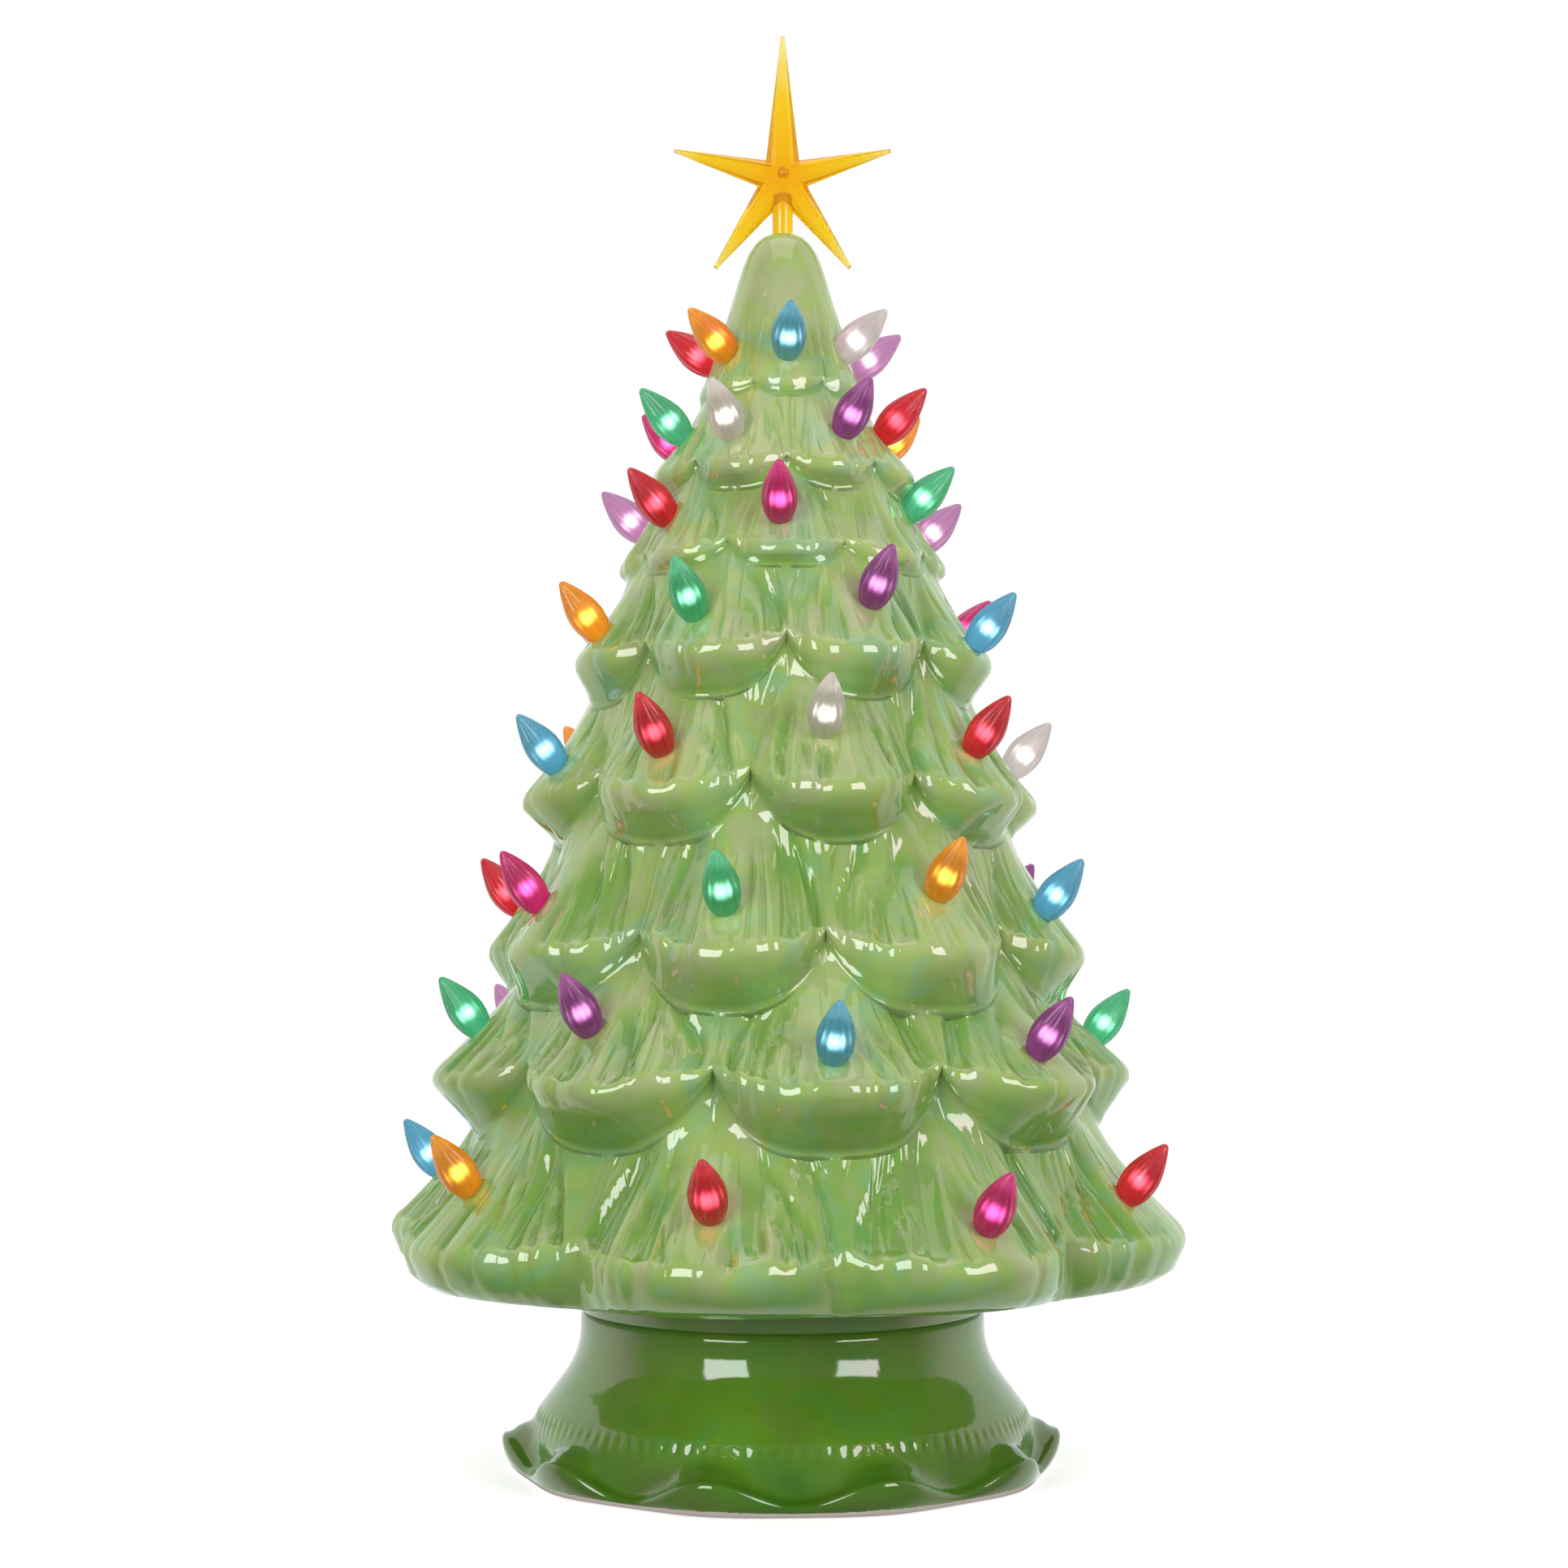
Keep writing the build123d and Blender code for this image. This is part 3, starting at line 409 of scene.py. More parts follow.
# the crown's own slope: where it starts as a share of the height, then radii at shares of its length
crown_start = 0.936
crown_shares, crown_radii = [0.0, 0.25, 0.46, 0.66, 0.83, 1.0], [13.95, 16.45, 18.3, 20.2, 21.9, 23.5]
# how slopes flare to the ridge, and over what length one takes over the hem above it
slope_power, hem_carry = 1.3, 6.0
# glaze that softens a cleft: its share of the cleft's depth, its most, how wide it lies, and the least cleft
fill_share, fill_most, fill_wide, least_cleft = 0.28, 1.3, 2.2, 0.02
# unevenness of the ridges: waves round the tree and their size, its least share, and the rise to the clefts
ridge_waves = [(7, 0.30), (13, 0.35), (23, 0.35), (37, 0.25)]
least_wave, lift_power = 0.45, 2.2
# undersides, before they meet the slope below: inset and drop at the ridge, cleft and radius shares inside
edge_inset, edge_drop, tuck_cleft, tuck_share, skirt_tuck = 1.35, 3.0, 0.35, 0.93, 0.87
# needle strokes: how much of a flank they cover, share, depth, width and early start of broad ones, fanning,
# widths of the steep and the soft side, fading in, and depth beside the tiers' values
stroke_cover, broad_share, broad_depth, broad_width, broad_early = 0.86, 0.28, 1.35, 2.2, 0.10
fan_power, steep_side, soft_side, stroke_fade, stroke_gain = 1.7, 0.95, 1.9, 0.45, 1.3
# what each stroke is drawn from: place across the flank, start, lean to the middle, end, depth, width, sway
inmost_stroke, flank_span, place_jitter = 0.16, 0.80, (-0.32, 0.32)
inmost_start, start_slant, start_jitter, start_limits = 0.62, 0.42, (-0.16, 0.20), (0.10, 0.80)
stroke_lean, stroke_end, fine_depth, fine_width = (0.40, 0.80), (0.93, 1.05), (0.45, 1.25), (0.75, 1.3)
stroke_sway = (-0.05, 0.05)
# fine needle lines: how narrow their comb starts, its stretch, its steps from bough to bough and tier to tier
comb_narrow, comb_stretch, bough_apart, tier_apart = 0.62, 0.11, 90, 40.0
# flats pressed for the bulbs: depth, reach, and how far round them the clay is left without strokes
seat_depth, seat_reach, calm_reach, calm_share = 0.7, 5.4, 7.5, 0.9
# for each tier from the crown down: ridge and drop as shares of the height; tip, root and cleft as shares of
# the skirt radius; the ridge's rise to its clefts, needle strokes' depth and spacing in mm; rows of its slope
tiers = [
    (0.8475, 0.030, 0.2156, 0.128, 0.026, 1.2, 0.30, 6.0, 5),
    (0.7661, 0.034, 0.3486, 0.202, 0.046, 2.2, 0.50, 5.5, 6),
    (0.6847, 0.027, 0.4170, 0.294, 0.056, 2.6, 0.75, 5.2, 6),
    (0.5915, 0.078, 0.5459, 0.381, 0.083, 3.8, 0.95, 5.4, 8),
    (0.4678, 0.068, 0.6606, 0.436, 0.128, 4.6, 1.15, 5.6, 9),
    (0.3288, 0.102, 0.7615, 0.523, 0.138, 4.8, 1.35, 5.6, 9),
    (0.2169, 0.095, 0.8807, 0.615, 0.142, 4.6, 1.45, 5.8, 9),
    (0.0763, 0.045, 1.0, 0.697, 0.142, 2.4, 1.50, 6.0, 9),
]
tier_clefts = [
    (-73, -22, 30, 81, 133, 184, 235),
    (-43, 2, 47, 92, 137, 182, 227, 272),
    (-66, -21, 24, 69, 114, 159, 204, 249),
    (-44, 1, 46, 91, 136, 181, 226, 271),
    (-100, -54, -8, 35, 79, 123, 168, 214),
    (-78, -31, 9, 54, 99, 144, 190, 236),
    (-95, -52, -12, 29, 72, 118, 166, 215),
    (-118, -81, -31, 9, 48, 100, 145, 192),
]
# bulbs of each tier: azimuth, share of the slope from root to ridge, colour
tier_bulbs = [
    [(-50, 0.66, "orange"), (4, 0.69, "blue"), (60, 0.63, "clear"), (99, 0.71, "lilac"),
     (158, 0.68, "green"), (-150, 0.68, "magenta"), (-100, 0.66, "red")],
    [(-68, 0.56, "green"), (-26, 0.64, "clear"), (34, 0.60, "purple"), (71, 0.54, "red"),
     (114, 0.60, "orange"), (160, 0.60, "blue"), (-156, 0.60, "purple"), (-111, 0.60, "magenta")],
    [(-56, 0.56, "red"), (-1, 0.65, "magenta"), (80, 0.40, "green"), (103, 0.69, "lilac"),
     (150, 0.60, "clear"), (-147, 0.60, "orange"), (-96, 0.59, "lilac")],
    [(-65, 0.76, "orange"), (-26, 0.67, "green"), (28, 0.54, "purple"), (67, 0.86, "blue"),
     (112, 0.70, "magenta"), (156, 0.70, "green"), (-158, 0.70, "red"), (-112, 0.70, "clear")],
    [(-69, 0.79, "blue"), (-29, 0.73, "red"), (10, 0.61, "clear"), (53, 0.70, "red"),
     (98, 0.76, "clear"), (145, 0.72, "lilac"), (-169, 0.72, "green"), (-122, 0.72, "orange")],
    [(-60, 0.72, "magenta"), (-11, 0.75, "green"), (33, 0.66, "orange"), (69, 0.76, "blue"),
     (121, 0.73, "purple"), (166, 0.73, "clear"), (-147, 0.73, "blue"), (-97, 0.72, "red")],
    [(-75, 0.64, "green"), (-36, 0.60, "purple"), (8, 0.79, "blue"), (47, 0.78, "purple"),
     (98, 0.75, "green"), (142, 0.72, "orange"), (-170, 0.72, "magenta"), (-120, 0.72, "lilac")],
    [(-98, 0.67, "blue"), (-56, 0.66, "orange"), (-10, 0.72, "red"), (29, 0.81, "magenta"),
     (66, 0.74, "red"), (122, 0.74, "lilac"), (168, 0.74, "clear"), (-144, 0.74, "green")],
]


def lobe(radius, depth, half, turn):
    """Radius of a lobed outline: each bough is one arc from cleft to cleft."""
    rise = radius - (radius - depth) * np.cos(half)
    arc = (((radius - depth) * np.sin(half)) ** 2 + rise ** 2) / (2 * rise)
    centre = radius - arc
    return centre * np.cos(turn) + np.sqrt(np.maximum(arc ** 2 - (centre * np.sin(turn)) ** 2, 0.0))


def smooth(low, high, value):
    """Eases from 0 at low to 1 at high."""
    share = np.clip((value - low) / (high - low), 0.0, 1.0)
    return share * share * (3 - 2 * share)


class Tier:
    """One ring of boughs: its outline at each column, its slope above the ridge and its belly below."""

    def __init__(self, index):
        height, drop, tip, root, cleft, lift, stroke, spacing, self.rows = tiers[index]
        self.index = index
        self.last = index + 1 == len(tiers)
        self.ridge = tree_foot + tree_tall * height
        self.top = tree_foot + tree_tall * (crown_start if index == 0 else tiers[index - 1][0])
        self.tip, self.root, self.cleft = skirt * tip, skirt * root, skirt * cleft
        self.long = math.hypot(self.tip - self.root, self.ridge - self.top)
        self.under = skirt * (skirt_tuck if self.last else tuck_share * tiers[index + 1][3])
        self.under_height = self.ridge - tree_tall * drop
        self.half = np.zeros_like(azimuths)
        self.turn = np.zeros_like(azimuths)
        self.bough = np.zeros(azimuths.shape, int)
        clefts = [column_step * round(cleft / column_step) for cleft in tier_clefts[index]]
        for number, (first, last) in enumerate(zip(clefts, clefts[1:] + [clefts[0] + 360])):
            along = (azimuths - first) % 360
            inside = along <= last - first + 0.01
            self.half[inside] = math.radians((last - first) / 2)
            self.turn[inside] = np.radians(along[inside]) - math.radians((last - first) / 2)
            self.bough[inside] = number
        self.across = np.clip(self.turn / self.half, -1, 1)
        dice = np.random.default_rng(70 + index)
        turns = np.radians(azimuths)
        wave = sum(size * np.sin(count * turns + dice.uniform(0, 6.28)) for count, size in ridge_waves)
        waviness = least_wave + (1 - least_wave) * self.tip / skirt
        self.lift = lift * np.abs(self.across) ** lift_power + waviness * wave
        self.rim = self.outline(self.tip, self.cleft)
        self.rim_height = self.ridge + self.lift
        self.join = np.zeros_like(azimuths)
        self.start_height = np.full(azimuths.shape, self.top)
        self.strokes = []
        for number in range(len(clefts)):
            flank = self.half[self.bough == number][0] * self.tip
            count = max(2, int(stroke_cover * flank / spacing))
            for side, place in ((side, place) for side in (-1, 1) for place in range(count)):
                reach = inmost_stroke + flank_span * (place + 0.5 + dice.uniform(*place_jitter)) / count
                begin = inmost_start - start_slant * reach + dice.uniform(*start_jitter)
                broad = dice.uniform() < broad_share
                self.strokes.append((
                    number, side * reach, side * reach * dice.uniform(*stroke_lean),
                    np.clip(begin, *start_limits) - broad_early * broad, dice.uniform(*stroke_end),
                    stroke * (broad_depth if broad else dice.uniform(*fine_depth)),
                    broad_width if broad else dice.uniform(*fine_width), dice.uniform(*stroke_sway),
                ))

    def outline(self, radius, depth):
        """Lobed outline with its clefts softened by the glaze."""
        from_cleft = (1 - np.abs(self.across)) * self.half * radius
        fill = np.minimum(fill_share * depth, fill_most) * np.exp(-(from_cleft / fill_wide) ** 2)
        return lobe(radius, np.maximum(depth, least_cleft), self.half, self.turn) + fill

    def share_at(self, height):
        """Share of the slope, from root to ridge, at a height."""
        return (height - self.top) / (self.rim_height - self.top)

    def slope(self, share):
        """Radius and height on the slope at a share from root to ridge."""
        share = np.broadcast_to(share, azimuths.shape)
        height = self.top + (self.rim_height - self.top) * share
        down = np.maximum(share, 0.0)
        if self.index == 0:
            body = np.interp(down, crown_shares, crown_radii)
        else:
            body = self.root + (self.tip - self.root) * down ** slope_power
        carried = self.join * np.exp(-np.maximum(self.start_height - height, 0.0) / hem_carry)
        return self.outline(body, self.cleft * down) + carried, height

    def under_line(self, share):
        """Plain underside from the ridge's edge to where it would end inside the tree."""
        edge = self.outline(self.tip - edge_inset, self.cleft)
        tuck = self.outline(self.under, tuck_cleft * self.cleft)
        edge_height = self.rim_height - edge_drop
        return edge + (tuck - edge) * share, edge_height + (self.under_height - edge_height) * share

    def carve(self, share):
        """Depth of the needle strokes and bulb seats on the slope, in mm, and where strokes are left out."""
        share = np.broadcast_to(share, azimuths.shape)
        depth = np.zeros_like(azimuths)
        girth = self.root + (self.tip - self.root) * share
        for number, last, first, begin, end, deep, wide, sway in self.strokes:
            along = np.clip((share - begin) / (end - begin), 0.0, 1.0)
            fanned = first + (last - first) * (1 - (1 - along) ** fan_power)
            path = fanned + sway * np.sin(2 * math.pi * along)
            apart = (self.across - path) * self.half * girth * (1 if last > 0 else -1)
            width = np.where(apart > 0, steep_side, soft_side) * wide
            window = smooth(0.0, stroke_fade, along) * (share < end)
            cut = (self.bough == number) * deep * window * np.exp(-(apart / width) ** 2)
            depth = np.maximum(depth, cut)
        seat = np.zeros_like(azimuths)
        calm = np.ones_like(azimuths)
        for azimuth, place, colour in tier_bulbs[self.index]:
            side = np.radians((azimuths - azimuth + 180) % 360 - 180) * girth
            away = np.sqrt(side ** 2 + ((share - place) * self.long) ** 2)
            seat = np.maximum(seat, seat_depth * np.exp(-(away / seat_reach) ** 6))
            calm = calm * (1 - calm_share * np.exp(-(away / calm_reach) ** 4))
        return stroke_gain * depth * calm, seat, calm

    def lane(self, share):
        """Place of each point across and along the comb of needle lines, which fan out to the ridge."""
        share = np.broadcast_to(share, azimuths.shape)
        fan = comb_narrow + (1 - comb_narrow) * (1 - (1 - np.clip(share, 0, 1)) ** fan_power)
        across = self.across / fan * self.half * self.tip + bough_apart * self.bough
        along = comb_stretch * self.long * share
        return np.stack([across, along, np.full(azimuths.shape, tier_apart * self.index)], axis=-1)


# Each tier hangs down to where its underside meets the slope below, lowest in the middle of a bough
boughs = [Tier(index) for index in range(len(tiers))]
under_steps = np.linspace(0, 1, 161)
evened = np.hanning(17) / np.hanning(17).sum()
skirt_hem, skirt_hem_height, skirt_scallop = 95.0, 51.4, 4.0
# how hems rise from the middle of a bough, and how far they stay below and inside the ridge
hem_bows, cleft_drop, cleft_inset, hem_inset = (1.9, 3.0), 1.6, 0.9, 0.7
for upper, lower in zip(boughs, boughs[1:]):
    free, reached = [], []
    for step in under_steps:
        radius, height = upper.under_line(step)
        free.append(radius - lower.slope(np.clip(lower.share_at(height), 0.0, 1.0))[0])
        reached.append(height)
    inside = np.array(free) < 0
    crossed = np.where(inside.any(axis=0), np.argmax(inside, axis=0), len(under_steps) - 1)
    meet_height = np.array(reached)[crossed, np.arange(azimuths.size)]
    around = np.concatenate([meet_height[-9:-1], meet_height, meet_height[1:9]])
    meet_height = np.convolve(around, evened, "valid")
    middles = np.array([meet_height[upper.bough == number].min() for number in range(upper.bough.max() + 1)])
    lowest = middles[upper.bough]
    bows = np.random.default_rng(30 + upper.index).uniform(*hem_bows, len(middles))
    rise = np.abs(upper.across) ** bows[upper.bough]
    upper.hem_height = lowest + rise * (upper.rim_height - cleft_drop - lowest)
    plain = lower.slope(lower.share_at(upper.hem_height))[0]
    upper.hem = np.minimum((1 - rise) * plain + rise * (upper.rim - cleft_inset), upper.rim - hem_inset)
    lower.start_height, lower.join = upper.hem_height, upper.hem - plain
boughs[-1].hem = boughs[-1].outline(skirt_hem, skirt_scallop)
boughs[-1].hem_height = np.full(azimuths.shape, skirt_hem_height)


def bend(first, corner, last, share):
    """Point of a rounded corner, as radius and height."""
    near, turning, far = (1 - share) ** 2, 2 * share * (1 - share), share ** 2
    return tuple(near * a + turning * b + far * c for a, b, c in zip(first, corner, last))


radii, heights, pools_and_shade, needles, lanes = [], [], [], [], []


def add_ring(radius, height, pool_and_shade=0.0, lane=0.0, needle=0.0):
    """Adds a ring of points, with how deep the glaze pools there plus its painted shade, and where needle
    lines are combed.
    """
    for rows, value in ((radii, radius), (heights, height), (pools_and_shade, pool_and_shade), (needles, needle)):
        rows.append(np.broadcast_to(value, azimuths.shape))
    lanes.append(np.broadcast_to(lane, (azimuths.size, 3)))


# The skin from the star's hole down the outside, round the skirt and back up the inside. First how deep the
# glaze pools: thin on ridges, in strokes, creases and fillets; with painted shade, pale crown to darker
# skirt.
crown_painted_shade, skirt_painted_shade, under_pool, fillet_pool = -0.18, 0.16, 0.75, 0.36
stroke_pool, stroke_full, crease_pool, tuck_pool = 0.40, 1.2, 0.2, 0.3
crease_reach, tuck_reach = 2.6, 2.5
# ridges pale with thin glaze; the edge, belly, hem and skirt belly values are painted shade on the undersides
ridge_pool, edge_painted_shade, belly_painted_shade, hem_painted_shade, skirt_belly_painted_shade = -0.14, 0.1, 0.14, 0.36, 0.15
# where needle lines are combed: down the slope, sooner at the flanks, weaker in the middle, fading to clefts
comb_start, comb_full, comb_flank, comb_middle, comb_cleft = 0.30, 0.62, 0.35, 0.45, (0.02, 0.14)
# roundings: the ridges' size, corner and edge, the notches that strokes cut in them, the bellies below, the
# lip at a hem and the fillet of glaze under it
ridge_round, upper_round, round_share, least_belly = 2.7, 2.3, 0.42, 0.5
corner_out, corner_down, edge_in, skirt_edge_in, edge_down = 0.10, 0.15, 0.24, 0.02, 1.2
notch_share, notch_place, notch_corner, notch_edge = 0.80, 0.985, 0.6, 0.5
belly_steps, skirt_belly, bough_belly = (0.36, 0.70, 0.88), (0.18, 0.05, 0.05), (0.44, 0.47, 0.0)
lip_most, lip_share, lip_drop = 0.55, 0.06, 0.3
fillet, fillet_most, fillet_steps = 2.4, 0.12, (0.36, 0.68)
crown_begin, row_crowding, look_ahead = 0.05, 0.9, 0.01
crown_rings = [
    (3.0, 326.1), (3.0, 336.3), (3.35, 336.8), (4.4, 336.8), (6.2, 335.9), (8.2, 333.8), (9.9, 330.9),
    (11.3, 327.2), (12.6, 322.9),
]
inside_rings = [
    (95.0, 51.4), (84.0, 51.2), (62.0, 51.2), (55.6, 50.8), (54.6, 49.6), (54.6, 42.7), (54.0, 42.05),
    (47.2, 42.05), (46.6, 42.6), (46.6, 56.6), (78.0, 57.4), (82.0, 67.0), (69.5, 92.0), (65.0, 108.0),
    (53.0, 143.0), (43.5, 181.0), (36.5, 219.0), (29.0, 247.0), (20.0, 271.0), (9.0, 298.0), (3.0, 326.1),
]
for radius, height in crown_rings:
    add_ring(radius, height, crown_painted_shade)
for tier in boughs:
    flank = np.abs(tier.across)
    tall = np.maximum(tier.rim_height - tier.hem_height, least_belly)
    # painted shade: each tier darker than the one above, from the crown down to the skirt
    shade = crown_painted_shade + (skirt_painted_shade - crown_painted_shade) * tier.index / (len(boughs) - 1)
    round_size = np.minimum(ridge_round if tier.index > 2 else upper_round, round_share * tall)
    begin = tier.share_at(tier.start_height)
    begin = begin + (crown_begin if tier.index == 0 else min(fillet / tier.long, fillet_most))
    stop = 1 - round_size / tier.long
    for step in np.linspace(0, 1, tier.rows) ** row_crowding:
        share = begin + (stop - begin) * step
        radius, height = tier.slope(share)
        ahead = tier.slope(share + look_ahead)
        run, fall = ahead[0] - radius, ahead[1] - height
        stroke, seat, calm = tier.carve(share)
        sunk = (stroke + seat) / np.hypot(run, fall)
        crease = np.exp(-((1 - flank) * tier.half * radius / crease_reach) ** 2) * np.clip(share, 0, 1)
        tucked = np.exp(-np.maximum(tier.start_height - height, 0) / tuck_reach) * (tier.index > 0)
        needle = smooth(comb_start, comb_full, share + comb_flank * flank) * calm
        needle = needle * (comb_middle + (1 - comb_middle) * flank)
        needle = needle * smooth(*comb_cleft, 1 - flank) * (1 - tucked)
        pool_and_shade = shade + stroke_pool * np.clip(stroke / stroke_full, 0, 1)
        pool_and_shade = pool_and_shade + crease_pool * crease + tuck_pool * tucked
        add_ring(radius + sunk * fall, height - sunk * run, pool_and_shade, tier.lane(share), needle)
    notch = notch_share * tier.carve(notch_place)[0]
    over = (radii[-1], heights[-1])
    corner = (
        tier.rim + corner_out * round_size - notch,
        tier.rim_height - corner_down * round_size + notch_corner * notch,
    )
    pulled_in = (skirt_edge_in if tier.last else edge_in) * round_size
    edge = (tier.rim - pulled_in - notch_edge * notch, tier.rim_height - edge_down * round_size)
    for step in (0.25, 0.5, 0.75, 1.0):
        # painted shade deepens over the ridge's edge into the belly
        pool_and_shade, lane = shade + ridge_pool + edge_painted_shade * step, tier.lane(1 + 0.06 * step)
        add_ring(*bend(over, corner, edge, step), pool_and_shade, lane, needle * (1 - step) ** 1.5)
    hem = (tier.hem, tier.hem_height)
    belly_in, belly_hold, belly_out = skirt_belly if tier.last else bough_belly
    belly = (
        edge[0] - belly_in * (edge[0] - tier.hem) + belly_out * tall,
        tier.hem_height + belly_hold * (edge[1] - tier.hem_height),
    )
    lip = 0.0 if tier.last else np.minimum(lip_most, lip_share * tall)
    for step, roll in zip(belly_steps, (0.0, 0.0, lip)):
        radius, height = bend(edge, belly, hem, step)
        # painted shade on the belly, darker towards the hem and darker still under the skirt
        pool_and_shade = shade + belly_painted_shade + hem_painted_shade * step + skirt_belly_painted_shade * tier.last
        add_ring(radius + roll, height - lip_drop * roll, pool_and_shade, tier.lane(1.1))
    if not tier.last:
        lower = boughs[tier.index + 1]
        above = (radii[-1], heights[-1])
        after = lower.slope(lower.share_at(tier.hem_height) + min(fillet / lower.long, fillet_most))
        for step in fillet_steps:
            add_ring(*bend(above, hem, after, step), fillet_pool)
collar_radius, under_side, scallop_reach = 54.6, 53.0, 40.0
for radius, height in inside_rings:
    pool_and_shade = under_pool if height < under_side else 0.0
    if radius > collar_radius and height < under_side:
        radius = boughs[-1].outline(radius, skirt_scallop * (radius - collar_radius) / scallop_reach)
    add_ring(radius, height, pool_and_shade)

tree = ring_piece("tree_glazed", np.array(radii), np.array(heights), np.radians(azimuths))
add_layer(tree, "glaze_pool_and_shade", pools_and_shade)
add_layer(tree, "needle_depth", needles)
add_layer(tree, "needle_lane", lanes, "FLOAT_VECTOR", "vector")
bare_hole, bare_inside = 2, 13
ring_numbers = np.arange(len(radii))[:, None]
bare_tree = (ring_numbers < bare_hole) | (ring_numbers >= len(radii) - bare_inside)
add_layer(tree, "bare_clay", np.broadcast_to(bare_tree, np.shape(pools_and_shade)))
close_seams(tree)
bpy.ops.object.shade_smooth_by_angle(angle=crease_angle)

tree_glaze = glaze_material("tree_pearl_glaze", (0.345, 0.450, 0.178), (0.140, 0.295, 0.058))
tree.data.materials.append(tree_glaze)
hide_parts("tree_shell")
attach(tree, "tree")

# Bulbs: moulded clear plastic drops with shallow flutes, each pushed by its peg into a hole in the glaze and
# lit from within; that light is painted, a glowing sphere that shows as a bright heart in each belly and a
# faint glow in the plastic. One drop is shaped, then set on every seat, a piece per colour.
bulb_radius, bulb_length, bulb_sink = 4.8, 18.4, 1.2
bulb_leans = (38, 45, 45, 50, 50, 52, 52, 52)
flutes, flute_depth, flute_sharp, bulb_segments = 13, 0.25, 1.6, 78
flute_start, flute_end = (0.03, 0.14), (0.80, 0.97)
glow_heart_radius, glow_heart_share = 3.2, 0.36
# from the foot to the tip: radius and place as shares of the bulb's radius and length
drop_profile = [
    (0.0, 0.0), (0.30, 0.0), (0.56, 0.0), (0.63, 0.012), (0.70, 0.04), (0.80, 0.09), (0.885, 0.15),
    (0.95, 0.22), (0.99, 0.30), (1.0, 0.36), (0.985, 0.43), (0.94, 0.50), (0.87, 0.57), (0.775, 0.645),
    (0.66, 0.72), (0.54, 0.795), (0.42, 0.86), (0.32, 0.91), (0.25, 0.945), (0.18, 0.972), (0.10, 0.992),
    (0.0, 1.0),
]
drop_steps = len(drop_profile) - 1
pick()
bpy.ops.mesh.primitive_uv_sphere_add(segments=bulb_segments, ring_count=drop_steps, radius=1)
drop = bpy.context.object
sphere = np.empty(len(drop.data.vertices) * 3)
drop.data.vertices.foreach_get("co", sphere)
sphere = sphere.reshape(-1, 3)
up = 1 - np.arccos(np.clip(sphere[:, 2], -1, 1)) / math.pi
drop_wide, drop_high = np.array(drop_profile)[np.rint(up * drop_steps).astype(int)].T
drop_turn = np.arctan2(sphere[:, 1], sphere[:, 0])
flute_fade = smooth(*flute_start, drop_high) * (1 - smooth(*flute_end, drop_high))
flute_cut = flute_depth * flute_fade * (0.5 - 0.5 * np.cos(flutes * drop_turn)) ** flute_sharp
drop_reach = np.maximum(bulb_radius * drop_wide - flute_cut, 0.0)
drop_points = np.stack(
    [drop_reach * np.cos(drop_turn), drop_reach * np.sin(drop_turn), bulb_length * drop_high], axis=-1
)
drop.data.vertices.foreach_set("co", (drop_points * mm).ravel())
drop.data.update()
bpy.ops.object.shade_smooth()


def settle():
    """Puts the active piece's place into its mesh and smooths it."""
    bpy.ops.object.transform_apply(location=True, rotation=True, scale=True)
    bpy.ops.object.shade_smooth()


# painted glow: a small emissive sphere in each drop, fading towards its rim, stands for the light from within
pick()
bpy.ops.mesh.primitive_uv_sphere_add(
    segments=24, ring_count=14, radius=glow_heart_radius * mm, location=(0, 0, glow_heart_share * bulb_length * mm)
)
glow_heart = bpy.context.object
settle()
heart_light, finish = new_material("bulb_heart_light", glows=True)
tone = finish.blend(finish.noise(600.0), (1.0, 0.93, 0.86), (1.0, 1.0, 0.97))
facing = finish.add("LayerWeight", {"Blend": 0.5})["Facing"]
finish.shade({
    "Base Color": tone,
    "Emission Color": tone,
    "Emission Strength": 4.6,
    "Alpha": finish.sum("POWER", finish.remap(facing, 0.55, 0.0), 6.0),
})

bulb_seats = {}
for tier, lean, bulbs in zip(boughs, np.radians(bulb_leans), tier_bulbs):
    for azimuth, share, colour in bulbs:
        column = int(round((azimuth + 180) / column_step))
        body = tier.root + (tier.tip - tier.root) * share ** slope_power
        radius = lobe(body, tier.cleft * share, tier.half[column], tier.turn[column])
        height = tier.top + (tier.ridge - tier.top) * share
        outward = Vector((math.sin(math.radians(azimuth)), -math.cos(math.radians(azimuth)), 0))
        axis = outward * math.cos(lean) + Vector((0, 0, math.sin(lean)))
        seat = outward * radius + Vector((0, 0, height)) - axis * bulb_sink
        bulb_seats.setdefault(colour, []).append((seat * mm, axis))

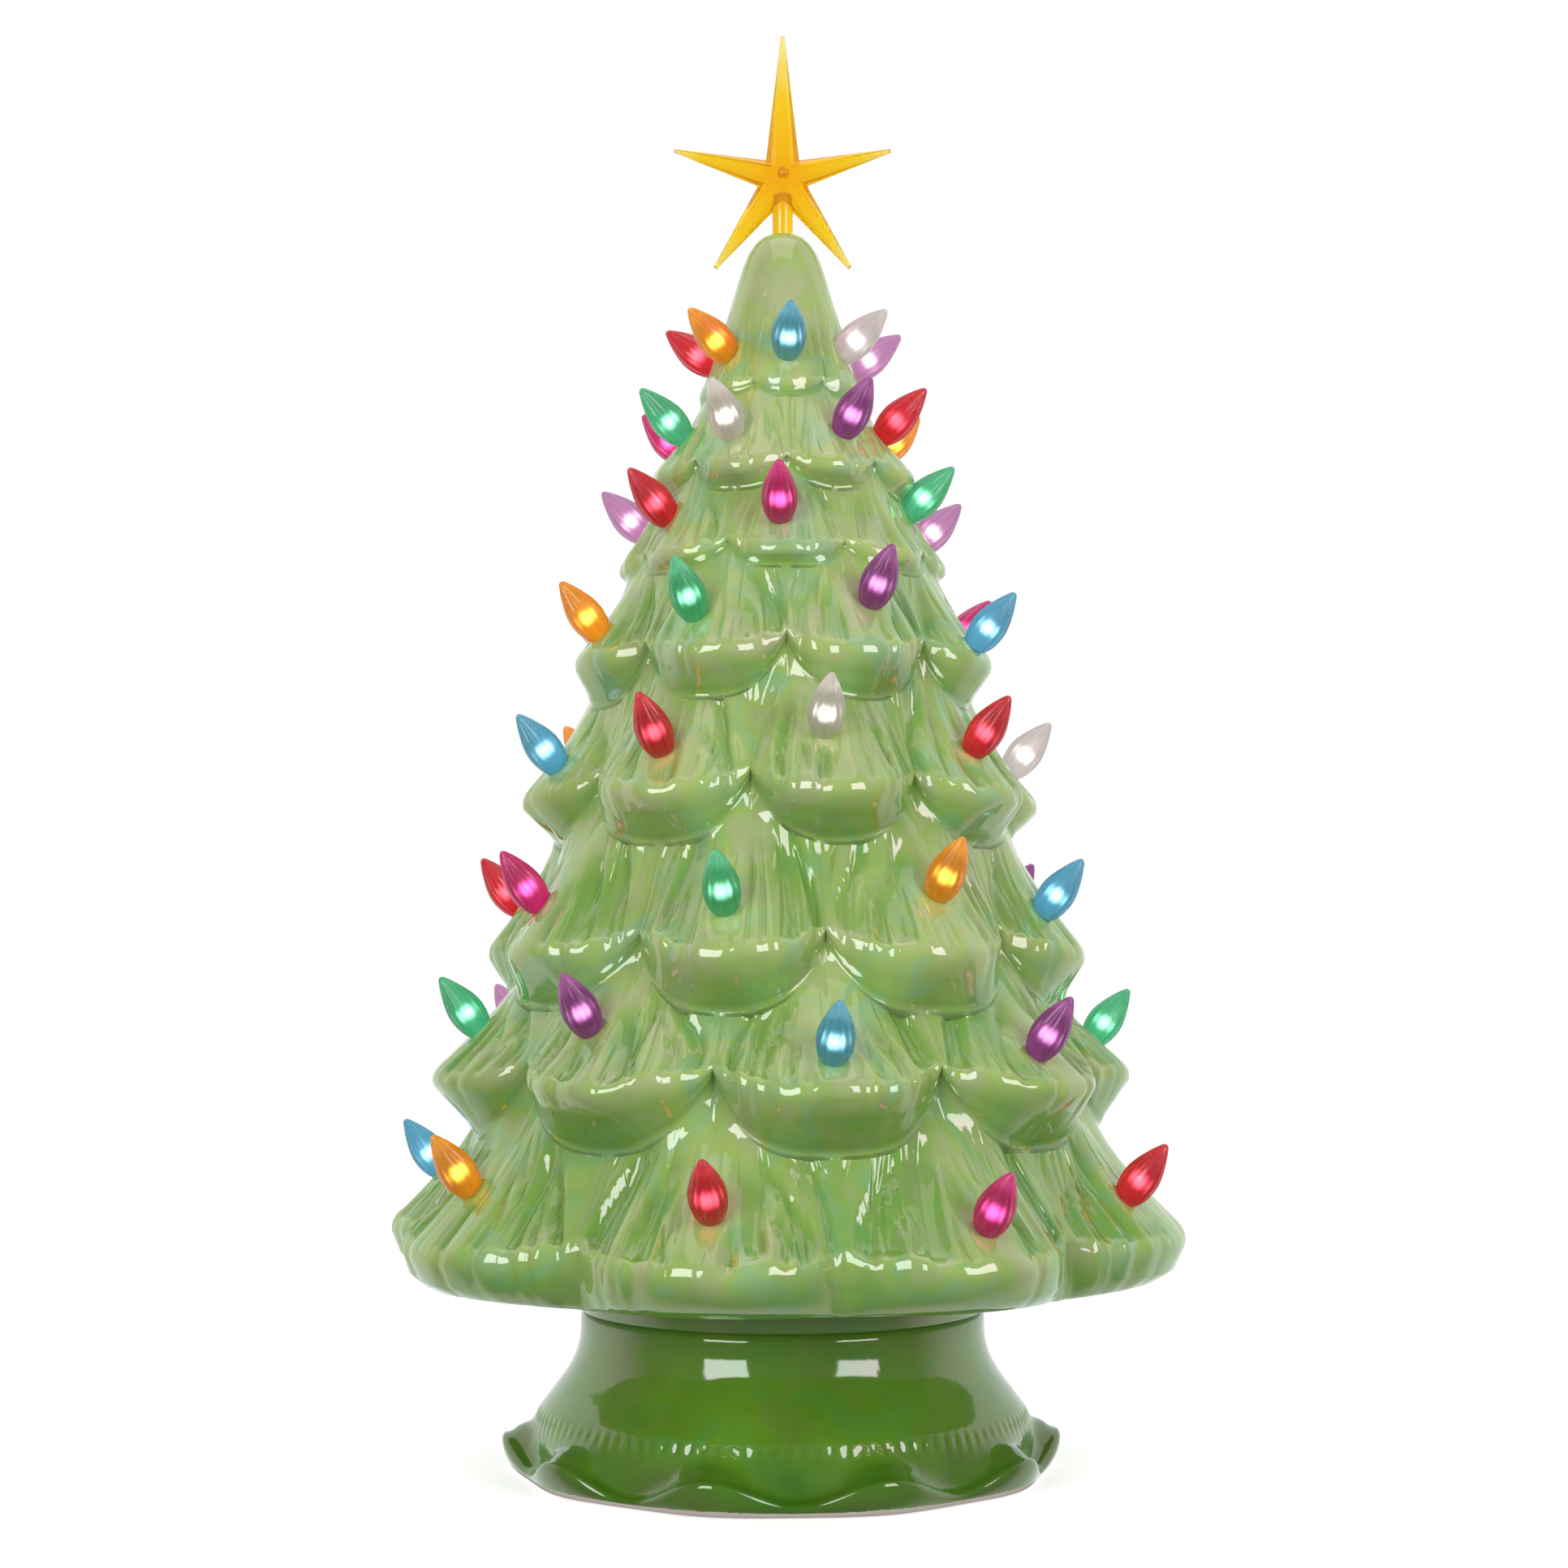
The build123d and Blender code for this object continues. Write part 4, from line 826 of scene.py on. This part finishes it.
bulb_tints = {
    "red": ((0.70, 0.008, 0.020), (0.50, 0.004, 0.012)),
    "magenta": ((0.68, 0.012, 0.19), (0.48, 0.005, 0.11)),
    "purple": ((0.39, 0.060, 0.33), (0.21, 0.020, 0.20)),
    "lilac": ((0.58, 0.27, 0.50), (0.47, 0.18, 0.40)),
    "orange": ((0.86, 0.34, 0.006), (0.78, 0.25, 0.003)),
    "blue": ((0.110, 0.44, 0.62), (0.06, 0.30, 0.49)),
    "green": ((0.085, 0.55, 0.27), (0.035, 0.40, 0.16)),
    "clear": ((0.70, 0.63, 0.61), (0.53, 0.46, 0.45)),
}
for colour, (pale, deep) in bulb_tints.items():
    plastic, finish = new_material("bulb_plastic_" + colour, glows=True)
    streaks = finish.noise(420.0, 2.0, 0.8)
    tone = finish.blend(streaks, pale, deep)
    # the faint emission is painted glow in the plastic
    finish.shade({
        "Base Color": tone,
        "Emission Color": tone,
        "Emission Strength": 0.04,
        "Roughness": finish.remap(streaks, 0.0, 1.0, 0.42, 0.54),
        "Normal": finish.bump(finish.noise(900.0), 0.12, 0.3 * mm),
        "IOR": 1.46,
        "Transmission Weight": 0.80,
        "Specular IOR Level": 0.18,
        "Coat Weight": 0.35,
        "Coat Roughness": 0.04,
    })
    copies = []
    for seat, axis in bulb_seats[colour]:
        place = Matrix.Translation(seat) @ axis.to_track_quat("Z", "Y").to_matrix().to_4x4()
        for source, paint in ((drop, plastic), (glow_heart, heart_light)):
            copy = source.copy()
            copy.data = source.data.copy()
            bpy.context.scene.collection.objects.link(copy)
            copy.data.transform(place)
            copy.data.materials.append(paint)
            copies.append(copy)
    pick(*copies)
    bpy.ops.object.join()
    bulbs = bpy.context.object
    bulbs.name = bulbs.data.name = "bulbs_lit_" + colour
    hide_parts("bulbs_" + colour)
    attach(bulbs, "tree")
for source in (drop, glow_heart):
    bpy.data.meshes.remove(source.data)

# Star: one moulding of clear amber plastic, flat-topped spikes with bevelled flanks on a round peg that
# drops into the crown's hole. Paler where the spikes thin out, deep orange at the core, with the knob where
# it was poured.
star_middle = 354.4
star_tips = [(0.0, 39.6), (30.2, 6.9), (18.8, -26.4), (-18.8, -26.4), (-30.2, 6.9)]
star_notches = [(-4.6, 4.2), (4.6, 4.2), (6.9, -3.2), (0.0, -7.6), (-6.9, -3.2)]
star_thick, star_edge, tip_thick, tip_wide, star_swell = 2.35, 0.35, 0.75, 0.68, 0.15
# the flat top as shares of the notch's and the tip's distance, and widths of flat and flank at the tip
flat_notch, flat_tip, flat_wide, flank_wide = 0.50, 0.975, 0.55, 0.8
peg_radius, peg_length, peg_middle, peg_round = 2.9, 26, 336, 1.3
knob_radius, knob_place, knob_ripple = 1.7, (0.2, -1.25, star_middle + 0.2), 0.22
flats, flanks = [], []
for (tip_x, tip_z), (notch_x, notch_z) in zip(star_tips, star_notches):
    notch, tip = Vector((notch_x, 0, notch_z)), Vector((tip_x, 0, tip_z))
    wide = Vector((-tip_z, 0, tip_x)).normalized() * tip_wide
    flats.append(flat_notch * notch + Vector((0, -star_thick, 0)))
    flanks.append(notch + Vector((0, -star_edge, 0)))
    for side in (1, -1):
        flats.append(tip * flat_tip + side * flat_wide * wide + Vector((0, -tip_thick, 0)))
        flanks.append(tip + side * flank_wide * wide + Vector((0, -star_edge, 0)))
backs = [Vector((point.x, 0.0, point.z)) for point in flanks]
star_points = [Vector((0.0, -star_thick - star_swell, 0.0))] + flats + flanks + backs
outer = len(flats)
star_faces = []
for index in range(outer):
    after = (index + 1) % outer
    star_faces.append((0, 1 + index, 1 + after))
    for inner in (1, 1 + outer):
        star_faces.append((inner + index, inner + outer + index, inner + outer + after, inner + after))
star_mesh = bpy.data.meshes.new("star_amber")
star_places = [(point.x * mm, point.y * mm, (point.z + star_middle) * mm) for point in star_points]
star_mesh.from_pydata(star_places, [], star_faces)
star = bpy.data.objects.new("star_amber", star_mesh)
bpy.context.scene.collection.objects.link(star)
pick(star)
mirror = star.modifiers.new("back", "MIRROR")
mirror.use_axis = (False, True, False)
bpy.ops.object.modifier_apply(modifier="back")
soften = star.modifiers.new("edges", "BEVEL")
soften.width, soften.segments, soften.limit_method = 0.16 * mm, 2, "ANGLE"
soften.angle_limit = math.radians(14)
bpy.ops.object.modifier_apply(modifier="edges")
close_seams(star)
pick()
bpy.ops.mesh.primitive_cylinder_add(
    vertices=48, radius=peg_radius * mm, depth=peg_length * mm, location=(0, 0, peg_middle * mm)
)
peg = bpy.context.object
settle()
round_end = peg.modifiers.new("ends", "BEVEL")
round_end.width, round_end.segments, round_end.limit_method = peg_round * mm, 4, "ANGLE"
bpy.ops.object.modifier_apply(modifier="ends")
bpy.ops.object.shade_smooth()
pick()
knob_spot = [place * mm for place in knob_place]
bpy.ops.mesh.primitive_ico_sphere_add(subdivisions=3, radius=knob_radius * mm, location=knob_spot)
knob = bpy.context.object
settle()
for vertex in knob.data.vertices:
    spot = vertex.co / mm
    vertex.co += knob_ripple * mm * math.sin(3.1 * spot.x + 2.3 * spot.z) * Vector((0.5, -0.4, 0.6))
pick(star, peg, knob)
bpy.ops.object.join()
amber_and_glow, finish = new_material("star_clear_amber_glow", glows=True)
amber_tones = [
    (0.0, (0.80, 0.32, 0.003)), (0.24, (0.84, 0.46, 0.004)),
    (0.62, (0.84, 0.58, 0.012)), (1.0, (0.88, 0.76, 0.26)),
]
amber_reach, amber_cloud = 42 * mm, 8 * mm
middle = (0.0, 0.0, star_middle * mm)
offset = finish.add("VectorMath", {0: finish.where(), 1: middle}, operation="SUBTRACT")[0]
distance = finish.add("VectorMath", {0: offset}, operation="LENGTH")["Value"]
outwards = finish.sum("MULTIPLY_ADD", finish.noise(160.0), amber_cloud, distance)
tone = finish.ramp(finish.remap(outwards, 0.0, amber_reach), amber_tones)
# painted glow: a faint emission in the amber's own tone
finish.shade({
    "Base Color": tone,
    "Emission Color": tone,
    "Emission Strength": 0.06,
    "Roughness": 0.10,
    "Specular IOR Level": 0.3,
    "IOR": 1.5,
    "Transmission Weight": 0.72,
})
star.data.materials.clear()
star.data.materials.append(amber_and_glow)
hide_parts("star_topper")
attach(star, "star")

# Studio: a pale floor that runs off into white, two soft boxes in front and one overhead, and the camera
# where the photograph was taken, a little above the skirt and looking slightly up.
pick()
bpy.ops.mesh.primitive_plane_add(size=12.0, location=(0, 0, -0.0002))
floor = bpy.context.object
floor.name = floor.data.name = "studio_floor"
floor_paint, finish = new_material("floor_paper")
paper_grain = finish.noise(3.0, where=finish.where("Generated"))
finish.shade({
    "Base Color": finish.blend(paper_grain, (0.78, 0.78, 0.78), (0.80, 0.80, 0.80)),
    "Roughness": 0.9,
    "Alpha": finish.sum("SUBTRACT", 1.0, finish.add("NewGeometry", {})["Backfacing"]),
    "Emission Color": (1.0, 1.0, 1.0),
    "Emission Strength": 0.50,
})
floor.data.materials.append(floor_paint)
floor.visible_diffuse = floor.visible_glossy = floor.visible_transmission = floor.visible_shadow = False

# The tent is dim in front, where the camera stands, bright behind, and plain white to the camera itself
world = bpy.data.worlds.new("white_tent")
bpy.context.scene.world = world
world.use_nodes = True
tent = Finish(world.node_tree)
axes = tent.add("SeparateXYZ", {0: tent.where("Generated")})
tent_back = tent.remap(axes["Y"], -0.25, 0.32, 0.22, 1.08, "SMOOTHSTEP")
tent_table = tent.remap(axes["Z"], 0.02, -0.25, 0.0, 0.25, "SMOOTHSTEP")
seen = tent.add("LightPath", {})["Is Camera Ray"]
background = world.node_tree.nodes["Background"].inputs
tent.fill(background["Color"], (1.0, 1.0, 1.0))
tent.fill(background["Strength"], tent.between(seen, tent.sum("MAXIMUM", tent_back, tent_table), 1.05))

light_aim = Vector((0, 0, 0.15))
for name, place, power, wide, tall in (
    ("softbox_left", (-0.60, -1.00, 0.46), 9.6, 0.52, 0.74),
    ("softbox_right", (0.74, -0.84, 0.46), 7.8, 0.48, 0.70),
    ("softbox_top", (0.0, -0.12, 1.45), 3.4, 1.0, 1.2),
):
    bpy.ops.object.light_add(type="AREA", location=place)
    softbox = bpy.context.object
    softbox.name = name
    softbox.data.shape = "RECTANGLE"
    softbox.data.size, softbox.data.size_y = wide, tall
    softbox.data.energy = power
    softbox.rotation_euler = (light_aim - softbox.location).to_track_quat("-Z", "Y").to_euler()

photo_width, focal_pixels = 1932, 3276
bpy.ops.object.camera_add(location=(0.0004, -0.729, 0.1368), rotation=(math.radians(93.72), 0, 0))
camera = bpy.context.object
camera.data.sensor_width = 36.0
camera.data.lens = camera.data.sensor_width * focal_pixels / photo_width
camera.data.clip_start, camera.data.clip_end = 0.01, 50.0
bpy.context.scene.camera = camera
bpy.context.scene.view_settings.view_transform = "Standard"
